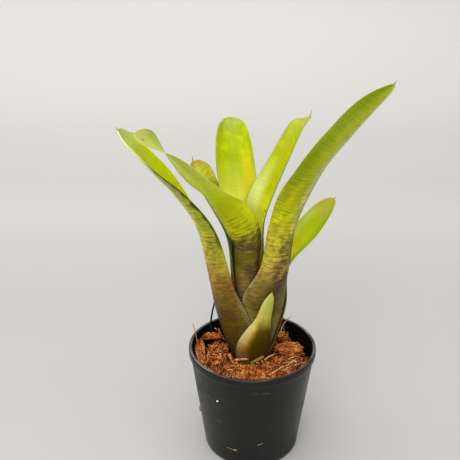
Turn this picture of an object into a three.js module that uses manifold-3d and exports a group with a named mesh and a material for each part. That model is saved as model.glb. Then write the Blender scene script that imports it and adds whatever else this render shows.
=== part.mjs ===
import * as THREE from 'three';
import { mergeVertices } from 'three/addons/utils/BufferGeometryUtils.js';
import Module from 'manifold-3d';

// A small tank bromeliad in its nursery pot. Eight stiff strap leaves nest
// round a short woody stem, which stands in coarse coconut husk. Millimetres,
// +Z up, origin at the centre of the pot's underside, front towards -Y.

// Pot: a tapered thin wall with a thicker rolled rim and a holed floor
const POT_HEIGHT = 81;
const POT_RIM_RADIUS = 45;
const POT_BASE_RADIUS = 33.6;
const POT_WALL = 1.2;
const POT_FLOOR = 1.5;
const POT_FOOT_ROUND = 2;
const RIM_HEIGHT = 5;
const RIM_WALL = 2.4;
const RIM_ROUND = 0.8;
const DRAIN_HOLES = 6;
const DRAIN_HOLE_RADIUS = 4;
const DRAIN_CIRCLE_RADIUS = 23;
const POT_SEGMENTS = 64;
const SHOULDER_HEIGHT = POT_HEIGHT - RIM_HEIGHT;
const POT_SHOULDER_RADIUS = POT_RIM_RADIUS - RIM_WALL + POT_WALL;

// Growing mix: a bed of husk with small chips and fibres grown into its top
const SEAT = 0.3;
const MIX_TOP = 66.5;
const MIX_CROWN = 1;
const MIX_ROUGHNESS = 0.7;
const SMALL_CHIPS = 38;
const CHIP_TOP_LIMIT = 79;

// Plant axis and the short stem inside the leaf bases
const PLANT_X = 0;
const PLANT_Y = 13;
const STEM_FOOT = 49.8;
const STEM_FOOT_RADIUS = 9;
const STEM_DISC_RADIUS = 15.2;
const STEM_TIP = 84;

// Leaves: thickness in the middle, at the margins and at the horny tip
const LEAF_THICKNESS = 0.9;
const MARGIN_THICKNESS = 0.7;
const HORN_RADIUS = 0.35;
const ROW_SPACING = 9;

const wasm = await Module();
wasm.setup();

const MATERIALS = {
  pot: { color: 0x1c1d20, roughness: 0.45, metalness: 0 },
  husk: { color: 0x96501f, roughness: 0.95, metalness: 0 },
  mix: { color: 0x7a3f1a, roughness: 0.95, metalness: 0 },
  leaf: { color: 0x8fae1a, roughness: 0.4, metalness: 0 },
  outerLeaf: { color: 0x6f7a24, roughness: 0.4, metalness: 0 },
  stem: { color: 0x4a3418, roughness: 0.8, metalness: 0 },
  stalk: { color: 0x17110c, roughness: 0.7, metalness: 0 },
};

const part = new THREE.Group();

function addNode(name, geometry, look) {
  const node = new THREE.Mesh(geometry, new THREE.MeshStandardMaterial(MATERIALS[look]));
  node.name = name;
  part.add(node);
}

// Repeatable random numbers from 0 to 1
function randomFrom(seed) {
  let state = seed;
  return () => {
    state = (state + 0x6d2b79f5) | 0;
    let value = Math.imul(state ^ (state >>> 15), 1 | state);
    value = (value + Math.imul(value ^ (value >>> 7), 61 | value)) ^ value;
    return ((value ^ (value >>> 14)) >>> 0) / 4294967296;
  };
}

function meshGeometry(points, triangles) {
  const geometry = new THREE.BufferGeometry();
  geometry.setAttribute('position', new THREE.Float32BufferAttribute(points, 3));
  geometry.setIndex(triangles);
  geometry.computeVertexNormals();
  return geometry;
}

// Closed surface to solid, with shared corners and no collapsed triangles
function solidOf(geometry) {
  const bare = new THREE.BufferGeometry();
  bare.setAttribute('position', geometry.getAttribute('position').clone());
  bare.setIndex(geometry.index);
  const welded = mergeVertices(bare, 1e-4);
  const corners = welded.index.array;
  const triangles = [];
  for (let k = 0; k < corners.length; k += 3) {
    const [a, b, c] = [corners[k], corners[k + 1], corners[k + 2]];
    if (a !== b && b !== c && c !== a) triangles.push(a, b, c);
  }
  return new wasm.Manifold(new wasm.Mesh({
    numProp: 3,
    vertProperties: Float32Array.from(welded.getAttribute('position').array),
    triVerts: Uint32Array.from(triangles),
  }));
}

function geometryOf(solid) {
  const mesh = solid.getMesh();
  return meshGeometry(Array.from(mesh.vertProperties), Array.from(mesh.triVerts));
}

// The one large body of a cut, without the crumbs that the cut left loose
function mainBody(solid) {
  const bodies = solid.decompose();
  return bodies.reduce((best, body) => (body.volume() > best.volume() ? body : best));
}

// Solid of revolution about +Z from points of radius and height
function turned(profile, segments = POT_SEGMENTS) {
  const points = profile.map(([radius, height]) => new THREE.Vector2(radius, height));
  return new THREE.LatheGeometry(points, segments).rotateX(Math.PI / 2);
}

// Outer wall radius of the pot at a height
function potRadius(height) {
  return THREE.MathUtils.mapLinear(height, 0, SHOULDER_HEIGHT, POT_BASE_RADIUS, POT_SHOULDER_RADIUS);
}

function makePot() {
  const inner = POT_RIM_RADIUS - RIM_WALL;
  const profile = [
    [0, 0],
    [POT_BASE_RADIUS - POT_FOOT_ROUND, 0],
    [POT_BASE_RADIUS - POT_FOOT_ROUND * 0.3, POT_FOOT_ROUND * 0.3],
    [potRadius(POT_FOOT_ROUND), POT_FOOT_ROUND],
    [POT_SHOULDER_RADIUS, SHOULDER_HEIGHT],
    [POT_RIM_RADIUS, SHOULDER_HEIGHT + 0.4],
    [POT_RIM_RADIUS, POT_HEIGHT - RIM_ROUND],
    [POT_RIM_RADIUS - RIM_ROUND, POT_HEIGHT],
    [inner + RIM_ROUND, POT_HEIGHT],
    [inner, POT_HEIGHT - RIM_ROUND],
    [inner, SHOULDER_HEIGHT],
    [potRadius(POT_FLOOR) - POT_WALL, POT_FLOOR],
    [0, POT_FLOOR],
  ];
  let pot = solidOf(turned(profile));
  for (let k = 0; k < DRAIN_HOLES; k += 1) {
    const angle = (k + 0.5) / DRAIN_HOLES * 2 * Math.PI;
    const hole = new THREE.CylinderGeometry(DRAIN_HOLE_RADIUS, DRAIN_HOLE_RADIUS, 3 * POT_FLOOR, 20);
    hole.rotateX(Math.PI / 2);
    hole.translate(DRAIN_CIRCLE_RADIUS * Math.cos(angle), DRAIN_CIRCLE_RADIUS * Math.sin(angle), 0);
    pot = pot.subtract(solidOf(hole));
  }
  addNode('pot', geometryOf(pot), 'pot');
}

// Everything that fits inside the pot with clearance to its wall
function insideOfPot() {
  const floor = POT_FLOOR + SEAT;
  return solidOf(turned([
    [0, floor],
    [potRadius(floor) - POT_WALL - SEAT, floor],
    [POT_SHOULDER_RADIUS - POT_WALL - SEAT, SHOULDER_HEIGHT],
    [POT_SHOULDER_RADIUS - POT_WALL - SEAT, CHIP_TOP_LIMIT],
    [0, CHIP_TOP_LIMIT],
  ]));
}

// Room for the stem and the flaring leaf bases
function footSocket() {
  const socket = turned([
    [0, STEM_FOOT - SEAT],
    [STEM_FOOT_RADIUS + SEAT, STEM_FOOT - SEAT],
    [STEM_DISC_RADIUS + SEAT, 60],
    [17.6, 62.6],
    [18, 68],
    [20, 76],
    [21.6, CHIP_TOP_LIMIT + 2],
    [0, CHIP_TOP_LIMIT + 2],
  ], 40);
  return solidOf(socket.translate(PLANT_X, PLANT_Y, 0));
}

// A cut husk chip: squarish rings along its length, each corner a little off.
// Growing it by a clearance on all sides gives the pocket that it lies in.
function huskChip({ length, width, height, seed, corners = 8, rings = 4 }, grow = 0) {
  const random = randomFrom(seed);
  const points = [];
  for (let i = 0; i < rings; i += 1) {
    const along = i / (rings - 1) * 2 - 1;
    const narrowing = 1 - 0.28 * along ** 4;
    for (let j = 0; j < corners; j += 1) {
      const angle = (j + 0.5) / corners * 2 * Math.PI;
      const squareness = 0.8 + 0.25 * Math.abs(Math.sin(2 * angle));
      const jitter = 1 + 0.22 * (random() - 0.5);
      const reach = squareness * narrowing * jitter;
      points.push(
        along * (length / 2 + grow) + 0.06 * length * (random() - 0.5),
        Math.cos(angle) * (width / 2 * reach + grow),
        Math.sin(angle) * (height / 2 * reach + grow),
      );
    }
  }
  return loftOf(points, rings, corners);
}

// Closed skin over rings of equal corner counts, with a fan at each end
function loftOf(points, rings, corners) {
  const triangles = [];
  for (let i = 0; i < rings - 1; i += 1) {
    for (let j = 0; j < corners; j += 1) {
      const a = i * corners + j;
      const b = i * corners + (j + 1) % corners;
      triangles.push(a, b, a + corners, b, b + corners, a + corners);
    }
  }
  const last = (rings - 1) * corners;
  for (let j = 1; j < corners - 1; j += 1) {
    triangles.push(0, j + 1, j);
    triangles.push(last, last + j, last + j + 1);
  }
  return meshGeometry(points, triangles);
}

function placed(geometry, { at, yaw = 0, pitch = 0, roll = 0 }) {
  const turn = new THREE.Euler(
    THREE.MathUtils.degToRad(roll),
    THREE.MathUtils.degToRad(pitch),
    THREE.MathUtils.degToRad(yaw),
    'ZYX',
  );
  const pose = new THREE.Matrix4().makeRotationFromEuler(turn).setPosition(...at);
  return geometry.applyMatrix4(pose);
}

// The large chips that lie on top of the mix as separate pieces. Two of them
// carry a fibre that has come loose at its upper end.
const LARGE_CHIPS = [
  {
    name: 'husk_chip_left',
    at: [-37, -1, 70],
    yaw: 97,
    roll: 18,
    length: 36,
    width: 6.5,
    height: 11,
    seed: 3,
    fibre: [[-37, 11, 70], [-37.8, 14.5, 79], [-41.5, 18.5, 90]],
  },
  {
    name: 'husk_chip_front',
    at: [3.5, -18, 66.8],
    yaw: -2,
    roll: 4,
    length: 49,
    width: 16,
    height: 8,
    seed: 5,
  },
  {
    name: 'husk_chip_fibrous',
    at: [-25, 1, 68.5],
    yaw: 78,
    length: 25,
    width: 12.5,
    height: 10,
    seed: 8,
  },
  {
    name: 'husk_chip_right',
    at: [27, 8.5, 70],
    yaw: -15,
    length: 17.5,
    width: 16,
    height: 10,
    seed: 13,
  },
  {
    name: 'husk_chip_back_left',
    at: [-31, 23.5, 73.5],
    yaw: 4,
    length: 16,
    width: 5,
    height: 5,
    seed: 21,
  },
  {
    name: 'husk_chip_back_right',
    at: [23, 27, 70.5],
    yaw: 20,
    length: 9,
    width: 7.5,
    height: 6,
    seed: 34,
    fibre: [[22, 28, 71], [23, 28.5, 79], [26.5, 26.5, 86], [31, 25, 90]],
  },
];

// A curved strand as a thin tube through three or more points
function strand(points, radius, grow = 0) {
  const path = new THREE.CatmullRomCurve3(points.map((p) => new THREE.Vector3(...p)));
  const section = new THREE.Shape().absellipse(0, 0, radius + grow, radius + grow, 0, 2 * Math.PI);
  return new THREE.ExtrudeGeometry(section, { steps: 6, curveSegments: 2, extrudePath: path });
}

const FIBRE_RADIUS = 0.4;
const LYING_FIBRES = 8;

// Dry stalk standing in the mix behind the plant
const STALK_PATH = [[-29.5, 24.5, 63], [-29.8, 26, 84.5], [-26.5, 26, 104]];
const STALK_RADIUS = 0.6;

// Top of the bed between the chips, slightly crowned and uneven
function mixHeight(x, y) {
  const spread = Math.hypot(x, y) / POT_RIM_RADIUS;
  const uneven = Math.sin(0.31 * x + 1) * Math.cos(0.27 * y) + 0.6 * Math.sin(0.7 * y - 0.4 * x);
  return MIX_TOP + MIX_CROWN * (1 - spread * spread) + MIX_ROUGHNESS * uneven;
}

function mixBed() {
  const floor = POT_FLOOR + SEAT;
  const wall = POT_WALL + SEAT;
  const bed = turned([
    [0, floor],
    [potRadius(floor) - wall, floor],
    [potRadius(MIX_TOP) - wall, MIX_TOP],
    [36, MIX_TOP],
    [30, MIX_TOP],
    [24, MIX_TOP],
    [18, MIX_TOP],
    [0, MIX_TOP],
  ], 48);
  const position = bed.getAttribute('position');
  for (let k = 0; k < position.count; k += 1) {
    const [x, y, z] = [position.getX(k), position.getY(k), position.getZ(k)];
    if (z > floor + 1 && Math.hypot(x, y) < 37) position.setZ(k, mixHeight(x, y));
  }
  return solidOf(bed);
}

// Small chips strewn over the bed and half sunk in it
function smallChips() {
  const random = randomFrom(11);
  const chips = [];
  for (let k = 0; k < SMALL_CHIPS; k += 1) {
    const radius = 15 + 25 * Math.sqrt(random());
    const angle = k * 2.399963 + random();
    const [x, y] = [radius * Math.cos(angle), radius * Math.sin(angle)];
    const chip = huskChip({
      length: 6 + 6 * random(),
      width: 3.5 + 3 * random(),
      height: 3 + 2 * random(),
      seed: 100 + k,
      corners: 6,
      rings: 3,
    });
    chips.push(solidOf(placed(chip, {
      at: [x, y, mixHeight(x, y) + 0.6 + random()],
      yaw: 360 * random(),
      pitch: 50 * (random() - 0.5),
      roll: 60 * random(),
    })));
  }
  return chips;
}

// Short strands that arch over the chips with both ends in the bed
function lyingFibres() {
  const random = randomFrom(7);
  const strands = [];
  for (let k = 0; k < LYING_FIBRES; k += 1) {
    const angle = k / LYING_FIBRES * 2 * Math.PI + 0.6 * random();
    const radius = 27 + 8 * random();
    const [x, y] = [radius * Math.cos(angle), radius * Math.sin(angle)];
    const turn = 2 * Math.PI * random();
    const reach = 4 + 2 * random();
    const [dx, dy] = [reach * Math.cos(turn), reach * Math.sin(turn)];
    strands.push(solidOf(strand([
      [x - dx, y - dy, MIX_TOP - 1.5],
      [x - 0.5 * dx, y - 0.5 * dy, MIX_TOP + 3.5],
      [x + 0.5 * dx, y + 0.5 * dy, MIX_TOP + 4],
      [x + dx, y + dy, MIX_TOP - 1.5],
    ], FIBRE_RADIUS)));
  }
  return strands;
}

function makeMix() {
  const room = insideOfPot();
  const socket = footSocket();
  const pockets = [solidOf(strand(STALK_PATH, STALK_RADIUS, SEAT))];
  for (const chip of LARGE_CHIPS) {
    let body = solidOf(placed(huskChip(chip), chip)).intersect(room).subtract(socket);
    for (const pocket of pockets) body = body.subtract(pocket);
    if (chip.fibre) body = body.add(solidOf(strand(chip.fibre, FIBRE_RADIUS)));
    addNode(chip.name, geometryOf(mainBody(body)), 'husk');
    pockets.push(solidOf(placed(huskChip(chip, SEAT), chip)));
  }
  let bed = mixBed();
  for (const chip of smallChips()) bed = bed.add(chip.intersect(room));
  for (const fibre of lyingFibres()) bed = bed.add(fibre);
  for (const hollow of [socket, ...pockets]) bed = bed.subtract(hollow);
  addNode('growing_mix', geometryOf(mainBody(bed)), 'mix');
  addNode('dry_stalk', strand(STALK_PATH, STALK_RADIUS), 'stalk');
}

// Stem: a woody disc under the outer leaves, stepping in towards the tip so
// that each ring of leaves stands on its own step
const STEM_STEPS = [
  [STEM_DISC_RADIUS, 63.3],
  [13, 65.3],
  [10.9, 67.2],
  [9.1, 71.3],
  [7.6, 75.2],
  [6, 79],
];

function makeStem() {
  const profile = [
    [0, STEM_FOOT],
    [STEM_FOOT_RADIUS, STEM_FOOT],
    [STEM_DISC_RADIUS, 60],
  ];
  STEM_STEPS.forEach(([radius, top], k) => {
    profile.push([radius, top]);
    if (k + 1 < STEM_STEPS.length) profile.push([STEM_STEPS[k + 1][0], top]);
  });
  profile.push([3.5, STEM_TIP - 1.5], [0, STEM_TIP]);
  addNode('stem', turned(profile, 28).translate(PLANT_X, PLANT_Y, 0), 'stem');
}

// Leaves. A heading is the compass angle of the leaf's own plane, 0 along +X.
// A station, from base to tip, holds: distance out from the plant axis, drift
// to the side, height, half width, cup (half the angle that the channel wraps)
// and roll (turn of the channel about the leaf's length), in mm and degrees.
const LEAVES = [
  {
    name: 'leaf_left_outer',
    heading: 205,
    columns: 10,
    tip: { length: 14, run: 2.2, fill: 2 },
    horn: { length: 3, rise: 0.4 },
    look: 'outerLeaf',
    stations: [
      [14, 0, 64, 22, 88, 0],
      [17, -0.5, 80, 22, 71, 16],
      [21.5, -1, 98, 20.5, 62, 19],
      [25.5, -0.5, 113, 17, 67, 20],
      [29, 0, 127, 14, 71, 19],
      [39, -1, 170, 14, 57, 5],
      [55.5, -3.5, 199, 14, 57, -10],
      [73.5, -1.5, 222, 14.5, 38, -17],
      [90.5, -2, 246, 12, 10, -18],
    ],
  },
  {
    name: 'leaf_left_spoon',
    heading: 200,
    columns: 12,
    tip: { length: 18, run: 2.2, fill: 2 },
    horn: { length: 3, rise: -0.3 },
    look: 'outerLeaf',
    stations: [
      [10, 0, 68, 22, 126, 0],
      [10, 0, 97, 18.5, 118, 6],
      [11.5, 1, 120, 18.5, 112, 14],
      [12, 4.5, 143, 16, 94, 34],
      [13.5, 8, 164, 18.5, 90, 50],
      [31, 5.5, 191, 19.5, 52, 17],
      [42, 6, 205, 15, 21, 23],
      [60, 3.5, 227, 14, 14, 5],
      [79.5, 2, 242, 8.5, 52, -47],
    ],
  },
  {
    name: 'leaf_right_large',
    heading: -20,
    columns: 10,
    tip: { length: 40, run: 2, fill: 1.6 },
    horn: { length: 3, rise: 0.2 },
    look: 'outerLeaf',
    stations: [
      [12, 0, 66, 17, 79, 0],
      [16, -1.5, 89, 13.5, 55, -29],
      [16.5, -4.5, 104, 22, 67, -37],
      [18, -8.5, 117, 23, 80, -40],
      [22, -9, 140, 14.5, 67, -45],
      [25, -4.5, 173, 12.5, 64, -52],
      [39.5, -2.5, 209, 15.5, 26, -29],
      [62.5, -1, 242, 11.5, 51, -41],
      [87, -1, 273, 14, 57, -34],
    ],
  },
  {
    name: 'leaf_back',
    heading: 100,
    columns: 8,
    tip: { length: 15, run: 2.4, fill: 2 },
    horn: { length: 2, rise: 0 },
    look: 'leaf',
    stations: [
      [8.5, 0, 72, 11.5, 77, 0],
      [8.5, 0.5, 97, 10.5, 76, 0],
      [9, 1, 120, 10.5, 73, 0],
      [10.5, 0.5, 144, 11.5, 66, 4],
      [12.5, 3, 165, 13, 57, 2],
      [19, 7, 185, 14.5, 46, 1],
      [22, 9.5, 215, 14, 47, -10],
      [39, 9, 233, 9.5, 65, 0],
    ],
  },
  {
    name: 'leaf_back_right',
    heading: 35,
    columns: 8,
    tip: { length: 16, run: 2, fill: 1.6 },
    horn: { length: 4, rise: 0.9 },
    look: 'leaf',
    stations: [
      [7, 0, 76, 11, 90, 0],
      [6, 0.5, 98, 8.5, 88, 2],
      [6, 1, 120, 8, 76, 8],
      [7, 1.5, 146, 9, 66, 6],
      [8, 2.5, 169, 10.5, 67, 6],
      [9.5, 1, 183, 12.5, 62, 9],
      [23, -1, 209, 10, 60, 5],
      [35, -1.5, 230, 7.5, 52, 6],
      [49, 2.5, 236, 7, 35, -24],
    ],
  },
  {
    name: 'leaf_back_left',
    heading: 155,
    columns: 8,
    tip: { length: 14, run: 2.2, fill: 2 },
    horn: { length: 4, rise: 1.6 },
    look: 'leaf',
    stations: [
      [12.5, 0, 66, 15.5, 72, 0],
      [15, 0, 111, 14.5, 65, 1],
      [15.5, -0.5, 139, 13, 52, -2],
      [18, 0, 161, 11, 42, -7],
      [30.5, 0, 181, 10, 42, -8],
      [44.5, 2, 208, 11, 38, -18],
    ],
  },
  {
    name: 'leaf_right_low',
    heading: 22,
    columns: 8,
    tip: { length: 16, run: 2.2, fill: 1.8 },
    horn: { length: 2.5, rise: 0 },
    look: 'leaf',
    stations: [
      [14, 0, 64, 17, 70, 0],
      [19, 2, 77, 16.5, 61, 2],
      [25, 5.5, 104, 15, 51, 14],
      [25, 8, 124, 12, 44, 22],
      [28.5, 5, 138, 11.5, 45, 17],
      [45, 1, 157, 11.5, 39, 14],
      [61, -1.5, 179, 8.5, 28, 7],
    ],
  },
  {
    name: 'leaf_front_basal',
    heading: -82,
    columns: 8,
    tip: { length: 26, run: 1.6, fill: 1.4 },
    horn: { length: 1.5, rise: 0 },
    look: 'leaf',
    stations: [
      [16, 0, 63, 9, 32, 0],
      [17.5, -1.5, 77, 13.5, 40, 0],
      [20.5, 2, 94, 10, 51, -4],
      [19.5, 5.5, 106, 6, 59, -6],
      [22.5, 9.5, 127, 7.5, 64, 12],
    ],
  },
];

const SPINE_SAMPLES = 12;
const TIP_STEPS = [0, 0.3, 0.55, 0.75, 0.9, 0.98];

function curveThrough(rows) {
  const points = rows.map((row) => new THREE.Vector3(...row));
  return new THREE.CatmullRomCurve3(points, false, 'catmullrom', 0.5);
}

// Middle line of a leaf in the pot's frame, and its length up to each sample
function leafSpine(leaf) {
  const heading = THREE.MathUtils.degToRad(leaf.heading);
  const out = new THREE.Vector3(Math.cos(heading), Math.sin(heading), 0);
  const side = new THREE.Vector3(-Math.sin(heading), Math.cos(heading), 0);
  const places = leaf.stations.map(([reach, drift, height]) => [
    PLANT_X + reach * out.x + drift * side.x,
    PLANT_Y + reach * out.y + drift * side.y,
    height,
  ]);
  const line = curveThrough(places);
  const shape = curveThrough(leaf.stations.map((station) => station.slice(3)));
  const samples = SPINE_SAMPLES * (places.length - 1);
  const lengths = [0];
  for (let k = 1; k <= samples; k += 1) {
    const step = line.getPoint(k / samples).distanceTo(line.getPoint((k - 1) / samples));
    lengths.push(lengths[k - 1] + step);
  }
  return { line, shape, side, samples, lengths, total: lengths[samples] };
}

// Curve parameter at a length along the middle line
function parameterAt(spine, length) {
  let k = 1;
  while (k < spine.samples && spine.lengths[k] < length) k += 1;
  const within = (length - spine.lengths[k - 1]) / (spine.lengths[k] - spine.lengths[k - 1]);
  return Math.min((k - 1 + within) / spine.samples, 1);
}

// Lengths at which the leaf gets a cross row, denser where the tip rounds off
function rowLengths(leaf, total) {
  const strap = total - leaf.tip.length;
  const rows = Math.round(strap / ROW_SPACING);
  const lengths = [];
  for (let k = 0; k < rows; k += 1) lengths.push(strap * k / rows);
  for (const step of TIP_STEPS) lengths.push(strap + step * leaf.tip.length);
  return lengths;
}

// Axes of the leaf at a place: along it, into the channel and across it
function leafAxes(spine, parameter, roll) {
  const along = spine.line.getTangent(parameter);
  const inward = new THREE.Vector3().crossVectors(along, spine.side).normalize();
  const across = new THREE.Vector3().crossVectors(inward, along);
  return {
    along,
    across: across.clone().multiplyScalar(Math.cos(roll)).addScaledVector(inward, Math.sin(roll)),
    inward: inward.clone().multiplyScalar(Math.cos(roll)).addScaledVector(across, -Math.sin(roll)),
  };
}

// Points of the upper and the under face along one cross row, a channel whose
// curve keeps the strap's radius while the tip narrows
function crossRow(leaf, spine, length) {
  const parameter = parameterAt(spine, length);
  const [strapHalf, cupDegrees, rollDegrees] = spine.shape.getPoint(parameter).toArray();
  const { across, inward } = leafAxes(spine, parameter, THREE.MathUtils.degToRad(rollDegrees));
  const centre = spine.line.getPoint(parameter);
  const bend = strapHalf / THREE.MathUtils.degToRad(cupDegrees);
  const run = Math.max(0, (length - spine.total + leaf.tip.length) / leaf.tip.length);
  const half = strapHalf * (1 - run ** leaf.tip.run) ** (1 / leaf.tip.fill);
  const row = { upper: [], under: [] };
  for (let j = 0; j <= leaf.columns; j += 1) {
    const place = j / leaf.columns * 2 - 1;
    const angle = place * half / bend;
    const face = inward.clone().multiplyScalar(Math.cos(angle));
    face.addScaledVector(across, -Math.sin(angle));
    const middle = centre.clone().addScaledVector(across, bend * Math.sin(angle));
    middle.addScaledVector(inward, bend * (1 - Math.cos(angle)));
    const thickness = THREE.MathUtils.lerp(LEAF_THICKNESS, MARGIN_THICKNESS, place * place);
    row.upper.push(middle.clone().addScaledVector(face, thickness / 2));
    row.under.push(middle.clone().addScaledVector(face, -thickness / 2));
  }
  return row;
}

// Rows of the horny tip: a short round point that may bend up or down
function hornRow(leaf, spine, reach) {
  const [, , rollDegrees] = spine.shape.getPoint(1).toArray();
  const { along, across, inward } = leafAxes(spine, 1, THREE.MathUtils.degToRad(rollDegrees));
  const heading = along.clone().add(new THREE.Vector3(0, 0, leaf.horn.rise)).normalize();
  const centre = spine.line.getPoint(1).addScaledVector(heading, reach * leaf.horn.length);
  const radius = HORN_RADIUS * (1.3 - reach);
  const row = { upper: [], under: [] };
  for (let j = 0; j <= leaf.columns; j += 1) {
    const angle = j / leaf.columns * Math.PI;
    const offset = across.clone().multiplyScalar(-radius * Math.cos(angle));
    const lift = radius * (0.4 + 0.6 * Math.sin(angle));
    row.upper.push(centre.clone().add(offset).addScaledVector(inward, lift));
    row.under.push(centre.clone().add(offset).addScaledVector(inward, -lift));
  }
  return row;
}

// A blade from its cross rows, both faces split into triangles the same way
function bladeOf(rows, columns) {
  const points = [];
  for (const row of rows) {
    for (const point of [...row.upper, ...row.under]) points.push(...point.toArray());
  }
  const perRow = 2 * (columns + 1);
  const upper = (i, j) => i * perRow + j;
  const under = (i, j) => i * perRow + columns + 1 + j;
  const triangles = [];
  for (let i = 0; i < rows.length - 1; i += 1) {
    for (let j = 0; j < columns; j += 1) {
      triangles.push(upper(i, j), upper(i + 1, j + 1), upper(i, j + 1));
      triangles.push(upper(i, j), upper(i + 1, j), upper(i + 1, j + 1));
      triangles.push(under(i, j), under(i, j + 1), under(i + 1, j + 1));
      triangles.push(under(i, j), under(i + 1, j + 1), under(i + 1, j));
    }
    triangles.push(upper(i, 0), under(i, 0), under(i + 1, 0));
    triangles.push(upper(i, 0), under(i + 1, 0), upper(i + 1, 0));
    triangles.push(upper(i, columns), under(i + 1, columns), under(i, columns));
    triangles.push(upper(i, columns), upper(i + 1, columns), under(i + 1, columns));
  }
  const end = rows.length - 1;
  for (let j = 0; j < columns; j += 1) {
    triangles.push(upper(0, j), upper(0, j + 1), under(0, j + 1));
    triangles.push(upper(0, j), under(0, j + 1), under(0, j));
    triangles.push(upper(end, j), under(end, j + 1), upper(end, j + 1));
    triangles.push(upper(end, j), under(end, j), under(end, j + 1));
  }
  return meshGeometry(points, triangles);
}

function makeLeaf(leaf) {
  const spine = leafSpine(leaf);
  const rows = rowLengths(leaf, spine.total).map((length) => crossRow(leaf, spine, length));
  for (const reach of [0.1, 1]) rows.push(hornRow(leaf, spine, reach));
  addNode(leaf.name, bladeOf(rows, leaf.columns), leaf.look);
}

makePot();
makeMix();
makeStem();
LEAVES.forEach(makeLeaf);

export default part;
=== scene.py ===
# A small tank bromeliad in its nursery pot, dressed for rendering. The packed
# solids are the fixed frame: every piece here stands where its solid stands.

import math
import random

import bmesh
import bpy
import numpy as np
from bpy.props import FloatProperty, FloatVectorProperty, IntProperty, PointerProperty
from mathutils import Matrix, Vector, noise
from mathutils.bvhtree import BVHTree


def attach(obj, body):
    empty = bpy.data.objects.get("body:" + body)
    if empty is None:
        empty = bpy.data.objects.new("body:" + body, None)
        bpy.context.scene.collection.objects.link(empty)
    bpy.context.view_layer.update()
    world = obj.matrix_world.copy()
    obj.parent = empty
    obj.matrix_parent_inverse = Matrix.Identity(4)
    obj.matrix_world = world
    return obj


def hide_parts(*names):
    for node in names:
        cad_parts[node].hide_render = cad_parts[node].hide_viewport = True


bl_info = {
    "name": "Potted Tank Bromeliad",
    "version": (1, 0, 0),
    "blender": (4, 5, 0),
    "location": "View3D > Sidebar > Bromeliad",
    "description": "Builds a potted tank bromeliad with its husk mix, leaves and studio",
    "category": "Object",
}

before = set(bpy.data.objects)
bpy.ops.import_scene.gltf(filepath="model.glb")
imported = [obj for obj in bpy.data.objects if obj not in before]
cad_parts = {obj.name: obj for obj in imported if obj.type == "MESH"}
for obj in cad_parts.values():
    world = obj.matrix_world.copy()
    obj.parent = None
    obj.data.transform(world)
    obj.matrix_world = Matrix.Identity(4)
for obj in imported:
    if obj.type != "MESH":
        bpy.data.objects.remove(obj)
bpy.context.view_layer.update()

MM = 0.001
BODY = "root"
DOWN = Vector((0, 0, -1))

# Plant axis, as the solids have it
PLANT_AXIS = Vector((0.0, 13 * MM, 0.0))


def metres(values):
    """Lengths that are given in mm."""
    return [value * MM for value in values]


# Colours and washes


def linear(hex_colour):
    """Linear colour with alpha from a #rrggbb screen colour."""
    channels = [int(hex_colour[k : k + 2], 16) / 255 for k in (1, 3, 5)]
    straight = [c / 12.92 if c <= 0.04045 else ((c + 0.055) / 1.055) ** 2.4 for c in channels]
    return (*straight, 1.0)


# Washes on a leaf are markings, painted shade and painted highlights. A wash has
# its field, colour, strength, cover, and two stretches, across the blade and along
# it. A stretch is four shares of the blade: where the wash starts to rise, is
# full, starts to fall and is gone.
WIDE = (-0.4, -0.2, 1.2, 1.4)


def upto(fall, end):
    """Stretch that is full from the first edge, or from the base."""
    return (*WIDE[:2], fall, end)


def beyond(start, full):
    """Stretch that stays full to the other edge, or to the tip."""
    return (start, full, *WIDE[2:])


def plain(colour, strength, across, along):
    """Wash of even colour, with no field of markings in it."""
    return ("Plain", colour, strength, 0.5, across, along)


UNDER_WASHES = (
    ("Clouds", "#5a4312", 0.5, 0.45, WIDE, upto(0.35, 0.50)),
    ("Bars", "#4a2418", 0.8, 0.50, WIDE, (0.14, 0.24, 0.38, 0.50)),
    ("Bands", "#3c2e08", 0.5, 0.52, WIDE, upto(0.55, 0.75)),
    ("Scales", "#cfc8a0", 0.5, 0.36, WIDE, upto(0.10, 0.25)),
)
UPPER_WASHES = (
    ("Clouds", "#d0cc00", 0.35, 0.45, WIDE, beyond(0.3, 0.5)),
    ("Bands", "#7a9000", 0.15, 0.45, WIDE, beyond(0.2, 0.4)),
)

# Width of the soft edge of a marking, in the values of its field
WASH_SOFT = {"Plain": 0.5, "Bands": 0.12, "Bars": 0.11, "Scales": 0.04, "Clouds": 0.08}

# Colours that several leaves share: the lower third of the upper side, darkened
# with painted shade where the other leaves shade it, and the whole under side of
# two leaves at the back
SHEATH_PAINTED_SHADE = ("#5e4c20", "#746628", "#8a8a2a")
BACK_UNDER = ("#3a2a0e", "#57400f", "#6d5f18", "#7d8422", "#7f9022", "#86962c", "#95a542")

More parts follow.
